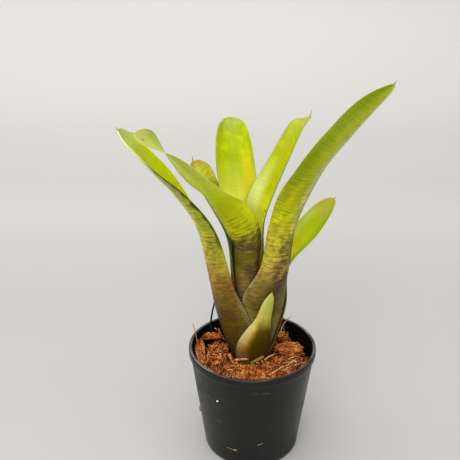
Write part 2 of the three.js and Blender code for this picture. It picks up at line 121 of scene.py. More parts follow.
# Leaves, base to tip. A station holds, in mm and degrees: distance out from
# the plant axis, drift to the side, height, half width, cup (half the angle
# that the channel wraps) and roll. Colours run along the leaf from base to tip.
# The tip holds the length in mm over which the blade narrows, and two powers
# that shape its outline there. The horny point holds its length in mm and how
# far it turns upwards. A mark is a ragged spot: its place and its reach, both
# across and along the blade, the place in shares and the reach in mm, then its
# colour and strength.
LEAVES = {
    "leaf_left_outer": {
        "heading": 205,
        "tip": (14, 2.2, 2.0),
        "horn": (3.0, 0.4),
        "stations": (
            (14, 0, 64, 22, 88, 0),
            (17, -0.5, 80, 22, 71, 16),
            (21.5, -1, 98, 20.5, 62, 19),
            (25.5, -0.5, 113, 17, 67, 20),
            (29, 0, 127, 14, 71, 19),
            (39, -1, 170, 14, 57, 5),
            (55.5, -3.5, 199, 14, 57, -10),
            (73.5, -1.5, 222, 14.5, 38, -17),
            (90.5, -2, 246, 12, 10, -18),
        ),
        "under": ("#0b0d1b", "#785b08", "#b0842f", "#fbeb41", "#f6f45b", "#ffff76", "#ffff76"),
        "upper": (*SHEATH_PAINTED_SHADE, "#a8b41c", "#eaf500", "#e2f211", "#98a85f"),
        "washes_under": (
            plain("#c9bd62", 0.45, upto(0.10, 0.55), (0.40, 0.50, 0.85, 1.00)),
            plain("#5f6c00", 0.65, beyond(0.45, 0.85), (0.40, 0.52, 0.78, 0.95)),
            ("Clouds", "#7c8e10", 0.40, 0.50, WIDE, (0.36, 0.44, 0.62, 0.72)),
            ("Clouds", "#4a3510", 0.4, 0.45, WIDE, upto(0.20, 0.32)),
            ("Bars", "#402630", 0.50, 0.48, upto(0.75, 0.95), (0.30, 0.38, 0.48, 0.60)),
            plain("#3a2810", 0.30, WIDE, (0.16, 0.21, 0.27, 0.33)),
            ("Bars", "#3c242c", 0.42, 0.50, WIDE, (0.08, 0.16, 0.32, 0.40)),
            # painted shade over the right half of the lower tube
            plain("#2e2210", 0.28, beyond(0.50, 0.70), (0.22, 0.30, 0.42, 0.52)),
            plain("#1a1206", 0.22, WIDE, upto(0.18, 0.28)),
            # painted highlight along the right margin low down
            plain("#b8b078", 0.20, beyond(0.90, 0.97), (0.06, 0.14, 0.26, 0.34)),
            # painted shade along the right margin higher up
            plain("#1c2600", 0.85, beyond(0.90, 0.97), (0.44, 0.52, 0.84, 0.94)),
            ("Bands", "#2c3600", 0.50, 0.48, WIDE, (0.45, 0.55, 0.76, 0.90)),
            ("Bands", "#2e2208", 0.40, 0.48, WIDE, upto(0.45, 0.58)),
            ("Scales", "#cfc8a0", 0.45, 0.36, beyond(0.6, 0.9), upto(0.20, 0.30)),
        ),
        "margin": 0.10,
    },
    "leaf_left_spoon": {
        "heading": 200,
        "tip": (18, 2.2, 2.0),
        "horn": (3.0, -0.3),
        "stations": (
            (10, 0, 68, 22, 126, 0),
            (10, 0, 97, 18.5, 118, 6),
            (11.5, 1, 120, 18.5, 112, 14),
            (12, 4.5, 143, 16, 94, 34),
            (13.5, 8, 164, 18.5, 90, 50),
            (31, 5.5, 191, 19.5, 52, 17),
            (42, 6, 205, 15, 21, 23),
            (60, 3.5, 227, 14, 14, 5),
            (79.5, 2, 242, 8.5, 52, -47),
        ),
        "under": ("#3e3322", "#2d3451", "#997a36", "#cdcd00", "#d9e715", "#f0f48b", "#ffffa7"),
        "upper": (*SHEATH_PAINTED_SHADE, "#87a104", "#91ad04", "#92bd00", "#b0ae65"),
        "washes_under": (
            plain("#e4e0b0", 0.50, upto(0.10, 0.50), beyond(0.59, 0.70)),
            plain("#748600", 0.50, beyond(0.45, 0.75), beyond(0.56, 0.66)),
            # painted shade along the right margin, in the gap to the next leaf
            plain("#140c00", 0.80, beyond(0.82, 0.94), (0.0, 0.1, 0.44, 0.50)),
            # painted shade on the left side of the lower tube
            plain("#2a1d08", 0.55, upto(0.15, 0.42), (0.0, 0.1, 0.42, 0.50)),
            ("Bars", "#7a4a2c", 0.45, 0.44, (0.05, 0.15, 0.35, 0.50), (0.48, 0.54, 0.66, 0.74)),
            plain("#3a2410", 0.62, WIDE, (0.34, 0.37, 0.455, 0.490)),
            ("Bars", "#3e2028", 0.80, 0.54, WIDE, (0.40, 0.43, 0.475, 0.520)),
            ("Bands", "#5a3a20", 0.25, 0.50, WIDE, (0.37, 0.41, 0.49, 0.54)),
            ("Clouds", "#4a2c30", 0.6, 0.50, (0.60, 0.70, 0.85, 0.95), (0.28, 0.32, 0.36, 0.40)),
            # painted shade in a strip on the left of the tube
            plain("#1c1400", 0.90, (0.10, 0.20, 0.34, 0.41), (0.20, 0.26, 0.44, 0.50)),
            plain("#8c8e00", 0.45, (0.42, 0.56, 0.80, 0.92), (0.49, 0.53, 0.60, 0.67)),
            ("Bars", "#5c4018", 0.55, 0.46, (0.30, 0.44, 0.74, 0.88), (0.47, 0.50, 0.55, 0.61)),
            ("Bars", "#3a2410", 0.4, 0.50, WIDE, (0.10, 0.20, 0.38, 0.44)),
            ("Bands", "#5c6404", 0.20, 0.46, WIDE, (0.45, 0.55, 0.92, 1.00)),
            ("Bands", "#2c2006", 0.35, 0.48, WIDE, upto(0.40, 0.45)),
        ),
        "marks_upper": ((0.60, 0.970, 1.5, 1.3, "#4a3408", 0.9),),
    },
    "leaf_right_large": {
        "heading": -20,
        "tip": (40, 2.0, 1.6),
        "horn": (3.0, 0.2),
        "stations": (
            (12, 0, 66, 17, 79, 0),
            (16, -1.5, 89, 13.5, 55, -29),
            (16.5, -4.5, 104, 22, 67, -37),
            (18, -8.5, 117, 23, 80, -40),
            (22, -9, 140, 14.5, 67, -45),
            (25, -4.5, 173, 12.5, 64, -52),
            (39.5, -2.5, 209, 15.5, 26, -29),
            (62.5, -1, 242, 11.5, 51, -41),
            (87, -1, 273, 14, 57, -34),
        ),
        "under": ("#caa389", "#aa9445", "#c1a443", "#d5cd00", "#b9bc00", "#aeb82d", "#b1be00"),
        "upper": ("#55501a", "#6f7418", "#84941a", "#8ca01c", "#94a81e", "#9cae2c", "#a3b05a"),
        "washes_under": (
            plain("#5c7600", 0.70, upto(0.12, 0.50), beyond(0.50, 0.72)),
            # painted highlight on the right side of the upper blade
            plain("#f0ecb4", 0.75, beyond(0.50, 0.95), beyond(0.38, 0.54)),
            plain("#b08a4a", 0.40, beyond(0.70, 0.88), (0.42, 0.46, 0.52, 0.58)),
            # painted shade on the lower blade, where the front leaf shades it
            plain("#40300c", 0.45, (0.30, 0.50, 0.75, 0.95), (0.0, 0.05, 0.24, 0.40)),
            ("Bars", "#42222a", 0.80, 0.48, beyond(0.30, 0.55), (0.20, 0.26, 0.38, 0.47)),
            ("Bars", "#442a34", 0.50, 0.46, WIDE, (0.12, 0.20, 0.42, 0.58)),
            ("Bands", "#4a2c2c", 0.28, 0.46, WIDE, (0.40, 0.45, 0.52, 0.60)),
            plain("#3a2810", 0.45, WIDE, (0.16, 0.21, 0.27, 0.33)),
            ("Clouds", "#6f8410", 0.40, 0.54, WIDE, (0.34, 0.42, 0.60, 0.72)),
            # painted shade along the right margin low down
            plain("#1e1200", 0.75, beyond(0.78, 0.88), upto(0.42, 0.46)),
            plain("#1e1400", 0.42, (0.10, 0.24, 0.44, 0.62), upto(0.29, 0.37)),
            ("Scales", "#ece8d4", 0.65, 0.46, upto(0.03, 0.08), (0.17, 0.20, 0.29, 0.34)),
            plain("#cfc4a8", 0.60, (0.73, 0.75, 0.76, 0.78), (0.06, 0.12, 0.20, 0.26)),
            ("Clouds", "#48262c", 0.55, 0.51, beyond(0.20, 0.42), (0.24, 0.30, 0.40, 0.47)),
            ("Clouds", "#5c4512", 0.55, 0.45, WIDE, upto(0.25, 0.36)),
            ("Bands", "#4c5a00", 0.34, 0.48, WIDE, (0.44, 0.55, 0.90, 1.05)),
            ("Bands", "#352608", 0.35, 0.48, WIDE, upto(0.40, 0.50)),
            ("Scales", "#d8d2b0", 0.45, 0.34, upto(0.08, 0.20), (0.08, 0.12, 0.22, 0.28)),
        ),
        "marks_under": (
            (0.60, 0.955, 1.0, 0.7, "#4a3008", 0.9),
            (0.56, 0.880, 0.5, 0.6, "#3a4400", 0.9),
            (0.74, 0.770, 0.5, 0.6, "#3a3c08", 0.9),
            (0.83, 0.620, 0.5, 0.6, "#4a4c10", 0.9),
            (0.45, 0.820, 0.4, 0.4, "#3a4400", 0.8),
            (0.70, 0.700, 0.4, 0.4, "#4a4c10", 0.8),
        ),
    },
    "leaf_back": {
        "heading": 100,
        "tip": (15, 2.4, 2.0),
        "horn": (0.4, 0.0),
        "stations": (
            (8.5, 0, 72, 11.5, 77, 0),
            (8.5, 0.5, 97, 10.5, 76, 0),
            (9, 1, 120, 10.5, 73, 0),
            (10.5, 0.5, 144, 11.5, 66, 4),
            (12.5, 3, 165, 13, 57, 2),
            (19, 7, 185, 14.5, 46, 1),
            (22, 9.5, 215, 14, 47, -10),
            (39, 9, 233, 9.5, 65, 0),
        ),
        "under": BACK_UNDER,
        "upper": (*SHEATH_PAINTED_SHADE, "#bcb04a", "#f1f058", "#a0b300", "#8e9500"),
        "washes_upper": (
            plain("#e6d018", 0.75, (0.02, 0.14, 0.26, 0.42), (0.50, 0.60, 0.78, 0.90)),
            plain("#8ea45c", 0.45, WIDE, beyond(0.93, 0.97)),
            plain("#e8b060", 0.50, (0.02, 0.08, 0.14, 0.26), (0.52, 0.58, 0.66, 0.74)),
            ("Clouds", "#d8dc10", 0.30, 0.45, WIDE, beyond(0.3, 0.5)),
            ("Bands", "#8aa000", 0.10, 0.45, WIDE, beyond(0.2, 0.4)),
        ),
    },
    "leaf_back_right": {
        "heading": 35,
        "tip": (16, 2.0, 1.6),
        "horn": (4.0, 0.9),
        "stations": (
            (7, 0, 76, 11, 90, 0),
            (6, 0.5, 98, 8.5, 88, 2),
            (6, 1, 120, 8, 76, 8),
            (7, 1.5, 146, 9, 66, 6),
            (8, 2.5, 169, 10.5, 67, 6),
            (9.5, 1, 183, 12.5, 62, 9),
            (23, -1, 209, 10, 60, 5),
            (35, -1.5, 230, 7.5, 52, 6),
            (49, 2.5, 236, 7, 35, -24),
        ),
        "under": BACK_UNDER,
        "upper": (*SHEATH_PAINTED_SHADE, "#ebe241", "#a0a900", "#a6ac0d", "#8e9730"),
        "washes_upper": (
            # painted highlight in a pale band along one side of the blade
            plain("#e2e6a0", 0.60, beyond(0.55, 0.80), (0.35, 0.45, 0.62, 0.80)),
            ("Clouds", "#d0d400", 0.30, 0.45, WIDE, beyond(0.3, 0.5)),
            ("Clouds", "#c8a040", 0.50, 0.50, WIDE, beyond(0.90, 0.97)),
            ("Bands", "#8a9c00", 0.18, 0.45, WIDE, beyond(0.2, 0.4)),
        ),
        "marks_upper": (
            (0.27, 0.58, 1.0, 1.5, "#4a3c00", 0.85),
            (0.35, 0.55, 0.6, 0.7, "#5a4c00", 0.7),
        ),
    },
    "leaf_back_left": {
        "heading": 155,
        "tip": (14, 2.2, 2.0),
        "horn": (4.0, 1.6),
        "stations": (
            (12.5, 0, 66, 15.5, 72, 0),
            (15, 0, 111, 14.5, 65, 1),
            (15.5, -0.5, 139, 13, 52, -2),
            (18, 0, 161, 11, 42, -7),
            (30.5, 0, 181, 10, 42, -8),
            (44.5, 2, 208, 11, 38, -18),
        ),
        "under": ("#3a2a0e", "#4e3c12", "#6d5f18", "#7d8422", "#7f9022", "#8a9030", "#a08a48"),
        "upper": (*SHEATH_PAINTED_SHADE, "#b5cc06", "#bfd406", "#cbd500", "#f4f559"),
        "washes_upper": (
            ("Clouds", "#b8842c", 0.45, 0.48, WIDE, beyond(0.76, 0.86)),
            plain("#b87840", 0.70, WIDE, beyond(0.95, 0.99)),
            ("Bands", "#7a8000", 0.30, 0.50, WIDE, beyond(0.2, 0.4)),
        ),
    },
    "leaf_right_low": {
        "heading": 22,
        "tip": (16, 2.2, 1.8),
        "horn": (2.5, 0.0),
        "stations": (
            (14, 0, 64, 17, 70, 0),
            (19, 2, 77, 16.5, 61, 2),
            (25, 5.5, 104, 15, 51, 14),
            (25, 8, 124, 12, 44, 22),
            (28.5, 5, 138, 11.5, 45, 17),
            (45, 1, 157, 11.5, 39, 14),
            (61, -1.5, 179, 8.5, 28, 7),
        ),
        "under": ("#3a2a0e", "#54400f", "#7a6c2a", "#8a8c30", "#7f9022", "#86962c", "#95a542"),
        "upper": ("#3e2e0e", "#5a4a12", "#84801a", "#ffff00", "#bfc003", "#9dad00", "#a39d3b"),
        "washes_upper": (
            plain("#c4d060", 0.50, beyond(0.58, 0.85), (0.50, 0.60, 0.84, 0.95)),
            plain("#6f9000", 0.50, upto(0.10, 0.35), beyond(0.50, 0.60)),
            ("Bands", "#7c9400", 0.10, 0.45, WIDE, beyond(0.2, 0.4)),
        ),
        "marks_upper": (
            (0.50, 0.915, 1.2, 3.6, "#b48c4a", 0.8),
            (0.42, 0.90, 0.6, 1.0, "#7a4c20", 0.8),
        ),
    },
    "leaf_front_basal": {
        "heading": -82,
        "tip": (26, 1.6, 1.4),
        "horn": (1.5, 0.0),
        "stations": (
            (16, 0, 63, 9, 32, 0),
            (17.5, -1.5, 77, 13.5, 40, 0),
            (20.5, 2, 94, 10, 51, -4),
            (19.5, 5.5, 106, 6, 59, -6),
            (22.5, 9.5, 127, 7.5, 64, 12),
        ),
        "under": ("#3c4b28", "#804009", "#a37c00", "#b0911d", "#b8ad41", "#adb443", "#c3bf5a"),
        "upper": ("#4a3a18", "#6a6424", "#8c8c34", "#a4a040", "#b0ae44", "#b8b44a", "#c0bc58"),
        "washes_under": (
            plain("#d8c880", 0.60, upto(0.10, 0.38), (0.18, 0.40, 0.90, 1.00)),
            plain("#5c4e34", 0.55, upto(0.30, 0.50), upto(0.16, 0.34)),
            plain("#281c06", 0.80, beyond(0.22, 0.46), (-0.2, 0.0, 0.50, 0.72)),
            ("Bars", "#2e2408", 0.45, 0.50, beyond(0.3, 0.5), (0.20, 0.30, 0.50, 0.62)),
            ("Bands", "#3a3408", 0.20, 0.48, WIDE, upto(0.62, 0.80)),
            ("Scales", "#f0ecdc", 0.70, 0.36, upto(0.07, 0.22), (0.08, 0.18, 0.48, 0.56)),
        ),
        "marks_under": (
            (0.10, 0.93, 0.7, 0.6, "#141400", 0.95),
            (0.30, 0.88, 0.4, 0.4, "#3a3a08", 0.8),
        ),
    },
}


# Curves and leaf shapes


def catmull(rows, parameter):
    """Value and slope at 0 to 1 on the smooth curve through evenly counted rows."""
    spans = len(rows) - 1
    place = min(max(parameter, 0.0), 1.0) * spans
    k = min(int(place), spans - 1)
    t = place - k
    start, end = rows[k], rows[k + 1]
    before = rows[k - 1] if k > 0 else 2 * start - end
    after = rows[k + 2] if k + 2 <= spans else 2 * end - start
    b = end - before
    c = 2 * before - 5 * start + 4 * end - after
    d = 3 * start - before - 3 * end + after
    value = 0.5 * (2 * start + b * t + c * t * t + d * t**3)
    slope = 0.5 * (b + 2 * c * t + 3 * d * t * t)
    return value, slope


class LeafShape:
    """A channelled strap leaf: its middle line and its cross rows."""

    SAMPLES = 12
    LEAST_HALF_WIDTH = 0.3 * MM

    def __init__(self, leaf):
        stations = np.array(leaf["stations"], dtype=float)
        heading = math.radians(leaf["heading"])
        out = np.array((math.cos(heading), math.sin(heading), 0.0))
        side = np.array((-math.sin(heading), math.cos(heading), 0.0))
        up = np.array((0.0, 0.0, 1.0))
        rows = stations[:, [0]] * out + stations[:, [1]] * side + stations[:, [2]] * up
        self.line = rows * MM + np.array(PLANT_AXIS)
        self.shape = stations[:, 3:]
        self.side = Vector(side)
        self.tip_length, self.tip_run, self.tip_fill = leaf["tip"]
        self.tip_length *= MM
        count = self.SAMPLES * (len(rows) - 1)
        points = np.array([catmull(self.line, k / count)[0] for k in range(count + 1)])
        steps = np.linalg.norm(np.diff(points, axis=0), axis=1)
        self.lengths = np.concatenate(([0.0], np.cumsum(steps)))
        self.total = float(self.lengths[-1])
        self.width = 2 * float(self.shape[:, 0].max()) * MM

    def section(self, length):
        """Centre, axes, bend radius and half width of the cross row at a length."""
        shares = np.linspace(0.0, 1.0, len(self.lengths))
        parameter = float(np.interp(length, self.lengths, shares))
        centre, slope = catmull(self.line, parameter)
        (half, cup, roll), _ = catmull(self.shape, parameter)
        along = Vector(slope).normalized()
        inward = along.cross(self.side).normalized()
        across = inward.cross(along)
        turn = math.radians(roll)
        turned_across = across * math.cos(turn) + inward * math.sin(turn)
        turned_inward = inward * math.cos(turn) - across * math.sin(turn)
        bend = half * MM / math.radians(cup)
        run = min(max((length - self.total) / self.tip_length + 1, 0.0), 1.0)
        width = half * MM * (1 - run**self.tip_run) ** (1 / self.tip_fill)
        width = max(width, self.LEAST_HALF_WIDTH)
        return Vector(centre), along, turned_across, turned_inward, bend, width

    def place(self, section, share):
        """Point and face direction at a share of -1 to 1 across a cross row."""
        centre, _, across, inward, bend, width = section
        angle = share * width / bend
        sine, cosine = math.sin(angle), math.cos(angle)
        point = centre + across * (bend * sine) + inward * (bend * (1 - cosine))
        return point, inward * cosine - across * sine


def curve_points(points, count):
    """Evenly counted points on the smooth curve through a few given in mm."""
    rows = np.array(points, dtype=float) * MM
    return [Vector(catmull(rows, k / (count - 1))[0]) for k in range(count)]


def turned_by(degrees, axis):
    """Turn about one of the axes X, Y and Z."""
    return Matrix.Rotation(math.radians(degrees), 3, axis)


# Meshes and objects


def add_object(name, data):
    """Object at the origin that holds the data, in the scene."""
    thing = bpy.data.objects.new(name, data)
    bpy.context.scene.collection.objects.link(thing)
    return thing


def new_object(name, bm, materials):
    """Smooth-shaded object made from a bmesh, with its materials."""
    bm.normal_update()
    mesh = bpy.data.meshes.new(name)
    bm.to_mesh(mesh)
    bm.free()
    for material in materials:
        mesh.materials.append(material)
    mesh.shade_smooth()
    return add_object(name, mesh)


def seat(piece, slot, *nodes):
    """Rides the piece on the frame, in place of the solids that it stands for."""
    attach(piece, BODY)
    if nodes:
        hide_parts(*nodes)


def subdivide(piece, levels):
    """Live subdivision with the same levels on screen and in the render."""
    modifier = piece.modifiers.new("Subdivision", "SUBSURF")
    modifier.levels = levels
    modifier.render_levels = levels


def only(kind, items):
    """The vertices, edges or faces among what an operator made."""
    return [item for item in items if isinstance(item, kind)]


def sweep(bm, points, radii, sides=6, material=0):
    """Closed tapered strand: a ring extruded from point to point."""
    points = [Vector(point) for point in points]
    along = (points[1] - points[0]).normalized()
    ring = bmesh.ops.create_circle(bm, radius=radii[0], segments=sides)["verts"]
    stand = along.to_track_quat("Z", "Y").to_matrix()
    bmesh.ops.rotate(bm, cent=(0, 0, 0), matrix=stand, verts=ring)
    bmesh.ops.translate(bm, vec=points[0], verts=ring)
    edges = list(dict.fromkeys(edge for vert in ring for edge in vert.link_edges))
    faces = bmesh.ops.edgeloop_fill(bm, edges=edges)["faces"]
    for k in range(1, len(points)):
        made = bmesh.ops.extrude_edge_only(bm, edges=edges)["geom"]
        ring = only(bmesh.types.BMVert, made)
        edges = only(bmesh.types.BMEdge, made)
        faces += only(bmesh.types.BMFace, made)
        heading = points[min(k + 1, len(points) - 1)] - points[k - 1]
        heading.normalize()
        old = points[k - 1]
        size = radii[k] / radii[k - 1]
        turn = along.rotation_difference(heading).to_matrix()
        bmesh.ops.rotate(bm, cent=old, matrix=turn, verts=ring)
        bmesh.ops.scale(bm, vec=(size,) * 3, space=Matrix.Translation(-old), verts=ring)
        bmesh.ops.translate(bm, vec=points[k] - old, verts=ring)
        along = heading
    faces += bmesh.ops.edgeloop_fill(bm, edges=edges)["faces"]
    bmesh.ops.recalc_face_normals(bm, faces=faces)
    for face in faces:
        face.material_index = material
        face.smooth = True
    return faces


def arc(centre, radius, start, end, steps, unit=1.0):
    """Profile points of radius and height on a round stretch, angles in degrees."""
    x, y, size = centre[0] * unit, centre[1] * unit, radius * unit
    angles = [math.radians(start + (end - start) * k / steps) for k in range(steps + 1)]
    return [(x + size * math.cos(angle), y + size * math.sin(angle)) for angle in angles]


def profile_edges(bm, points):
    """Open line of vertices and edges, to be spun or extruded."""
    verts = [bm.verts.new(point) for point in points]
    return verts, [bm.edges.new(pair) for pair in zip(verts, verts[1:])]


def turned(bm, profile, steps, centre=(0.0, 0.0, 0.0)):
    """Closed solid of revolution from a profile that starts and ends on the axis."""
    points = [(centre[0] + radius, centre[1], height) for radius, height in profile]
    verts, edges = profile_edges(bm, points)
    bmesh.ops.spin(
        bm, geom=verts + edges, cent=centre, axis=(0, 0, 1), angle=2 * math.pi, steps=steps,
        use_merge=True,
    )
    bmesh.ops.remove_doubles(bm, verts=bm.verts, dist=0.01 * MM)
    bmesh.ops.recalc_face_normals(bm, faces=bm.faces)


# Shader trees


class Shading:
    """Short calls that place and wire nodes in one shader tree."""

    def __init__(self, tree):
        self.tree = tree

    def put(self, socket, value):
        """Links a socket, or sets its constant. A #rrggbb colour is made linear."""
        if isinstance(value, bpy.types.NodeSocket):
            self.tree.links.new(value, socket)
        elif value is not None:
            socket.default_value = linear(value) if isinstance(value, str) else value

    def node(self, kind, inputs=None, **settings):
        node = self.tree.nodes.new(f"ShaderNode{kind}")
        for name, value in settings.items():
            setattr(node, name, value)
        for name, value in (inputs or {}).items():
            self.put(node.inputs[name], value)
        return node

    def place(self):
        """Object coordinates, which are metres."""
        return self.node("TexCoord").outputs["Object"]

    def split(self, vector):
        return self.node("SeparateXYZ", {"Vector": vector}).outputs

    def math(self, operation, *values):
        return self.node("Math", dict(enumerate(values)), operation=operation).outputs[0]

    def vector(self, operation, *values):
        node = self.node("VectorMath", dict(enumerate(values)), operation=operation)
        return node.outputs["Value" if operation == "LENGTH" else "Vector"]

    def mix(self, share, first, second):
        node = self.node("Mix", {0: share}, data_type="RGBA")
        # a Mix node keeps its colour sockets after the float and vector ones
        colours = [socket for socket in node.inputs if socket.type == "RGBA"]
        self.put(colours[0], first)
        self.put(colours[1], second)
        return next(socket for socket in node.outputs if socket.type == "RGBA")

    def tint(self, colour, mask, strength, over):
        """A colour with another laid over it where the mask is."""
        return self.mix(self.math("MULTIPLY", mask, strength), colour, over)

    def stretch(self, vector, scale, move=(0.0, 0.0, 0.0)):
        inputs = {"Vector": vector, "Location": move, "Scale": scale}
        return self.node("Mapping", inputs).outputs["Vector"]

    def noise(self, vector, scale, detail=2.0, roughness=0.5, distortion=0.0):
        names = ("Vector", "Scale", "Detail", "Roughness", "Distortion")
        inputs = dict(zip(names, (vector, scale, detail, roughness, distortion)))
        return self.node("TexNoise", inputs).outputs["Fac"]

    def between(self, value, low, high, to_low=0.0, to_high=1.0):
        """Smooth step of a value from one range to another."""
        names = ("Value", "From Min", "From Max", "To Min", "To Max")
        inputs = dict(zip(names, (value, low, high, to_low, to_high)))
        return self.node("MapRange", inputs, interpolation_type="SMOOTHSTEP").outputs["Result"]

    def ramp(self, value, colours, places=None):
        """Colours along a value, evenly spaced where no places are given."""
        node = self.node("ValToRGB", {"Fac": value})
        ramp = node.color_ramp
        places = places or [k / (len(colours) - 1) for k in range(len(colours))]
        while len(ramp.elements) < len(colours):
            ramp.elements.new(1.0)
        for element, place, colour in zip(ramp.elements, places, colours):
            element.position = place
            element.color = linear(colour) if isinstance(colour, str) else colour
        return node.outputs["Color"]

    def group(self, build, inputs):
        """Outputs of a shared effect, whose node group is built once."""
        name = build.__name__.replace("_", " ")
        tree = bpy.data.node_groups.get(name) or build(name)
        return self.node("Group", inputs, node_tree=tree).outputs


class Skin(Shading):
    """Principled material, with its constants set straight on the shader."""

    def __init__(self, name, roughness, **constants):
        self.material = bpy.data.materials.new(name)
        self.material.use_nodes = True
        super().__init__(self.material.node_tree)
        self.shader = next(node for node in self.tree.nodes if node.type == "BSDF_PRINCIPLED")
        self.shader.inputs["Roughness"].default_value = roughness
        for socket, value in constants.items():
            self.shader.inputs[socket.replace("_", " ")].default_value = value

    def finish(self, colour, relief=None, strength=1.0, depth=0.0, roughness=None):
        """Wires what changes over the surface, and gives the material."""
        self.put(self.shader.inputs["Base Color"], colour)
        self.put(self.shader.inputs["Roughness"], roughness)
        if relief is not None:
            inputs = {"Height": relief, "Strength": strength, "Distance": depth}
            self.put(self.shader.inputs["Normal"], self.node("Bump", inputs).outputs["Normal"])
        return self.material


def grained_skin(
    name, roughness, colours, scale, detail=3.0, distortion=0.0, tall=1.0, places=None, relief=(),
    **constants,
):
    """Skin in two tones of one grain, which runs upwards where tall is under 1."""
    skin = Skin(name, roughness, **constants)
    place = skin.place()
    if tall < 1.0:
        place = skin.stretch(place, (1.0, 1.0, tall))
    grain = skin.noise(place, scale, detail=detail, distortion=distortion)
    return skin.finish(skin.ramp(grain, colours, places), grain if relief else None, *relief)


def effect(name, inputs, outputs):
    """New shader node group and the shading calls for it.

    An input with no default is a vector, and any other is a number. An output
    that is called Color is a colour, and any other is a number.
    """
    tree = bpy.data.node_groups.new(name, "ShaderNodeTree")
    for socket, default in inputs.items():
        kind = "NodeSocketVector" if default is None else "NodeSocketFloat"
        made = tree.interface.new_socket(socket, in_out="INPUT", socket_type=kind)
        if default is not None:
            made.default_value = default
    for socket in outputs:
        kind = "NodeSocketColor" if socket == "Color" else "NodeSocketFloat"
        tree.interface.new_socket(socket, in_out="OUTPUT", socket_type=kind)
    source = tree.nodes.new("NodeGroupInput").outputs
    return Shading(tree), source, tree.nodes.new("NodeGroupOutput").inputs


def leaf_markings(name):
    """Uneven fields on a leaf's surface chart in metres, one for each kind of marking."""
    fields = ("Veins", "Bands", "Bars", "Scales", "Clouds")
    shading, source, sink = effect(name, {"Surface": None}, fields)
    surface = source["Surface"]
    lengthways = shading.stretch(surface, (1.0, 0.015, 1.0))
    crossways = shading.stretch(surface, (0.05, 1.0, 1.0))
    broken = shading.stretch(surface, (0.24, 1.0, 1.0))
    moved = shading.stretch(surface, (1.0, 1.0, 1.0), (3.0, 0.0, 0.0))
    made = (
        shading.noise(lengthways, 1500.0, detail=3.0, roughness=0.7),
        shading.noise(crossways, 900.0, detail=3.0, roughness=0.7, distortion=0.2),
        shading.noise(broken, 600.0, detail=3.0, roughness=0.55, distortion=0.5),
        shading.noise(moved, 1500.0),
        shading.noise(surface, 110.0, detail=3.0, roughness=0.55),
    )
    for field, value in zip(fields, made):
        shading.put(sink[field], value)
    return shading.tree


def marked_stretch(name):
    """Soft-edged stretch of a leaf's chart: rises, holds and falls along U and V."""
    ends = {f"{axis}{k}": 0.0 for axis in "UV" for k in range(4)}
    inputs = {"Chart": None, "Level": 1.0, "Cover": 0.5, "Soft": 0.05, **ends}
    shading, source, sink = effect(name, inputs, ["Mask"])
    mask = None
    for place, axis in zip(shading.split(source["Chart"]), "UV"):
        rise = shading.between(place, source[f"{axis}0"], source[f"{axis}1"])
        fall = shading.between(place, source[f"{axis}3"], source[f"{axis}2"])
        part = shading.math("MULTIPLY", rise, fall)
        mask = part if mask is None else shading.math("MULTIPLY", mask, part)
    edge = shading.math("SUBTRACT", 1.0, source["Cover"])
    low = shading.math("SUBTRACT", edge, source["Soft"])
    high = shading.math("ADD", edge, source["Soft"])
    level = shading.between(source["Level"], low, high)
    shading.put(sink["Mask"], shading.math("MULTIPLY", mask, level))
    return shading.tree


def spot(name):
    """One ragged mark at a place on a leaf's surface chart."""
    inputs = {"Surface": None, "Clouds": 0.5, "Place": None, "Reach": None}
    shading, source, sink = effect(name, inputs, ["Mask"])
    gap = shading.vector("SUBTRACT", source["Surface"], source["Place"])
    away = shading.vector("LENGTH", shading.vector("DIVIDE", gap, source["Reach"]))
    ragged = shading.math("ADD", away, shading.math("MULTIPLY", source["Clouds"], 0.9))
    shading.put(sink["Mask"], shading.between(ragged, 1.60, 1.20))
    return shading.tree


def husk_strands(name):
    """Coarse matted strands of coconut husk, in light and dark."""
    inputs = {"Place": None, "Tone": 0.5, "Ridge": 0.5}
    shading, source, sink = effect(name, inputs, ["Color", "Height"])
    place = source["Place"]
    lengthways = shading.stretch(place, (0.16, 1.0, 1.0))
    crossways = shading.stretch(place, (0.9, 0.25, 0.9))
    along = shading.noise(lengthways, 1050.0, detail=3.0, roughness=0.6, distortion=0.5)
    woven = shading.noise(crossways, 900.0, detail=3.0, roughness=0.6, distortion=0.8)
    patches = shading.between(shading.noise(place, 240.0), 0.52, 0.62)
    strands = shading.mix(patches, along, woven)
    # raised ridges make the colour lighter, as painted light
    ridge = shading.math("MULTIPLY", source["Ridge"], 0.38)
    level = shading.math("MULTIPLY_ADD", strands, 1.75, ridge)
    level = shading.math("SUBTRACT", level, 0.55)
    lean = shading.math("MULTIPLY", shading.math("SUBTRACT", source["Tone"], 0.5), 0.40)
    level = shading.math("ADD", level, lean)
    # low strands get dark colours as painted shade, and high strands light ones as painted light
    colours = ("#0c0300", "#3a1503", "#823c12", "#b8642a", "#d88c48", "#eed29a")
    colour = shading.ramp(level, colours, (0.22, 0.40, 0.52, 0.64, 0.78, 1.0))
    stain = shading.between(shading.noise(place, 130.0, detail=3.0), 0.56, 0.70, 0.0, 0.45)
    shading.put(sink["Color"], shading.mix(stain, colour, "#4c2230"))
    shading.put(sink["Height"], strands)
    return shading.tree


def scuffs(name):
    """Faint handling marks and dust on moulded plastic."""
    shading, source, sink = effect(name, {"Place": None}, ["Dust", "Scratch"])
    place = source["Place"]
    dust = shading.between(shading.noise(place, 45.0, detail=4.0, roughness=0.6), 0.40, 0.75)
    lines = shading.noise(shading.stretch(place, (0.12, 0.12, 1.0)), 900.0, distortion=0.5)
    rare = shading.between(shading.noise(place, 60.0), 0.50, 0.62)
    shading.put(sink["Dust"], dust)
    shading.put(sink["Scratch"], shading.math("MULTIPLY", shading.between(lines, 0.64, 0.72), rare))
    return shading.tree


# Leaves

# Looks that all leaves share
VEIN_COLOUR = "#5f6a00"
MARGIN_COLOUR = "#b8b060"
MARGIN_STRENGTH = 0.25
LEAF_GLOSS = 0.10
LEAF_ROUGHNESS = (0.36, 0.46)


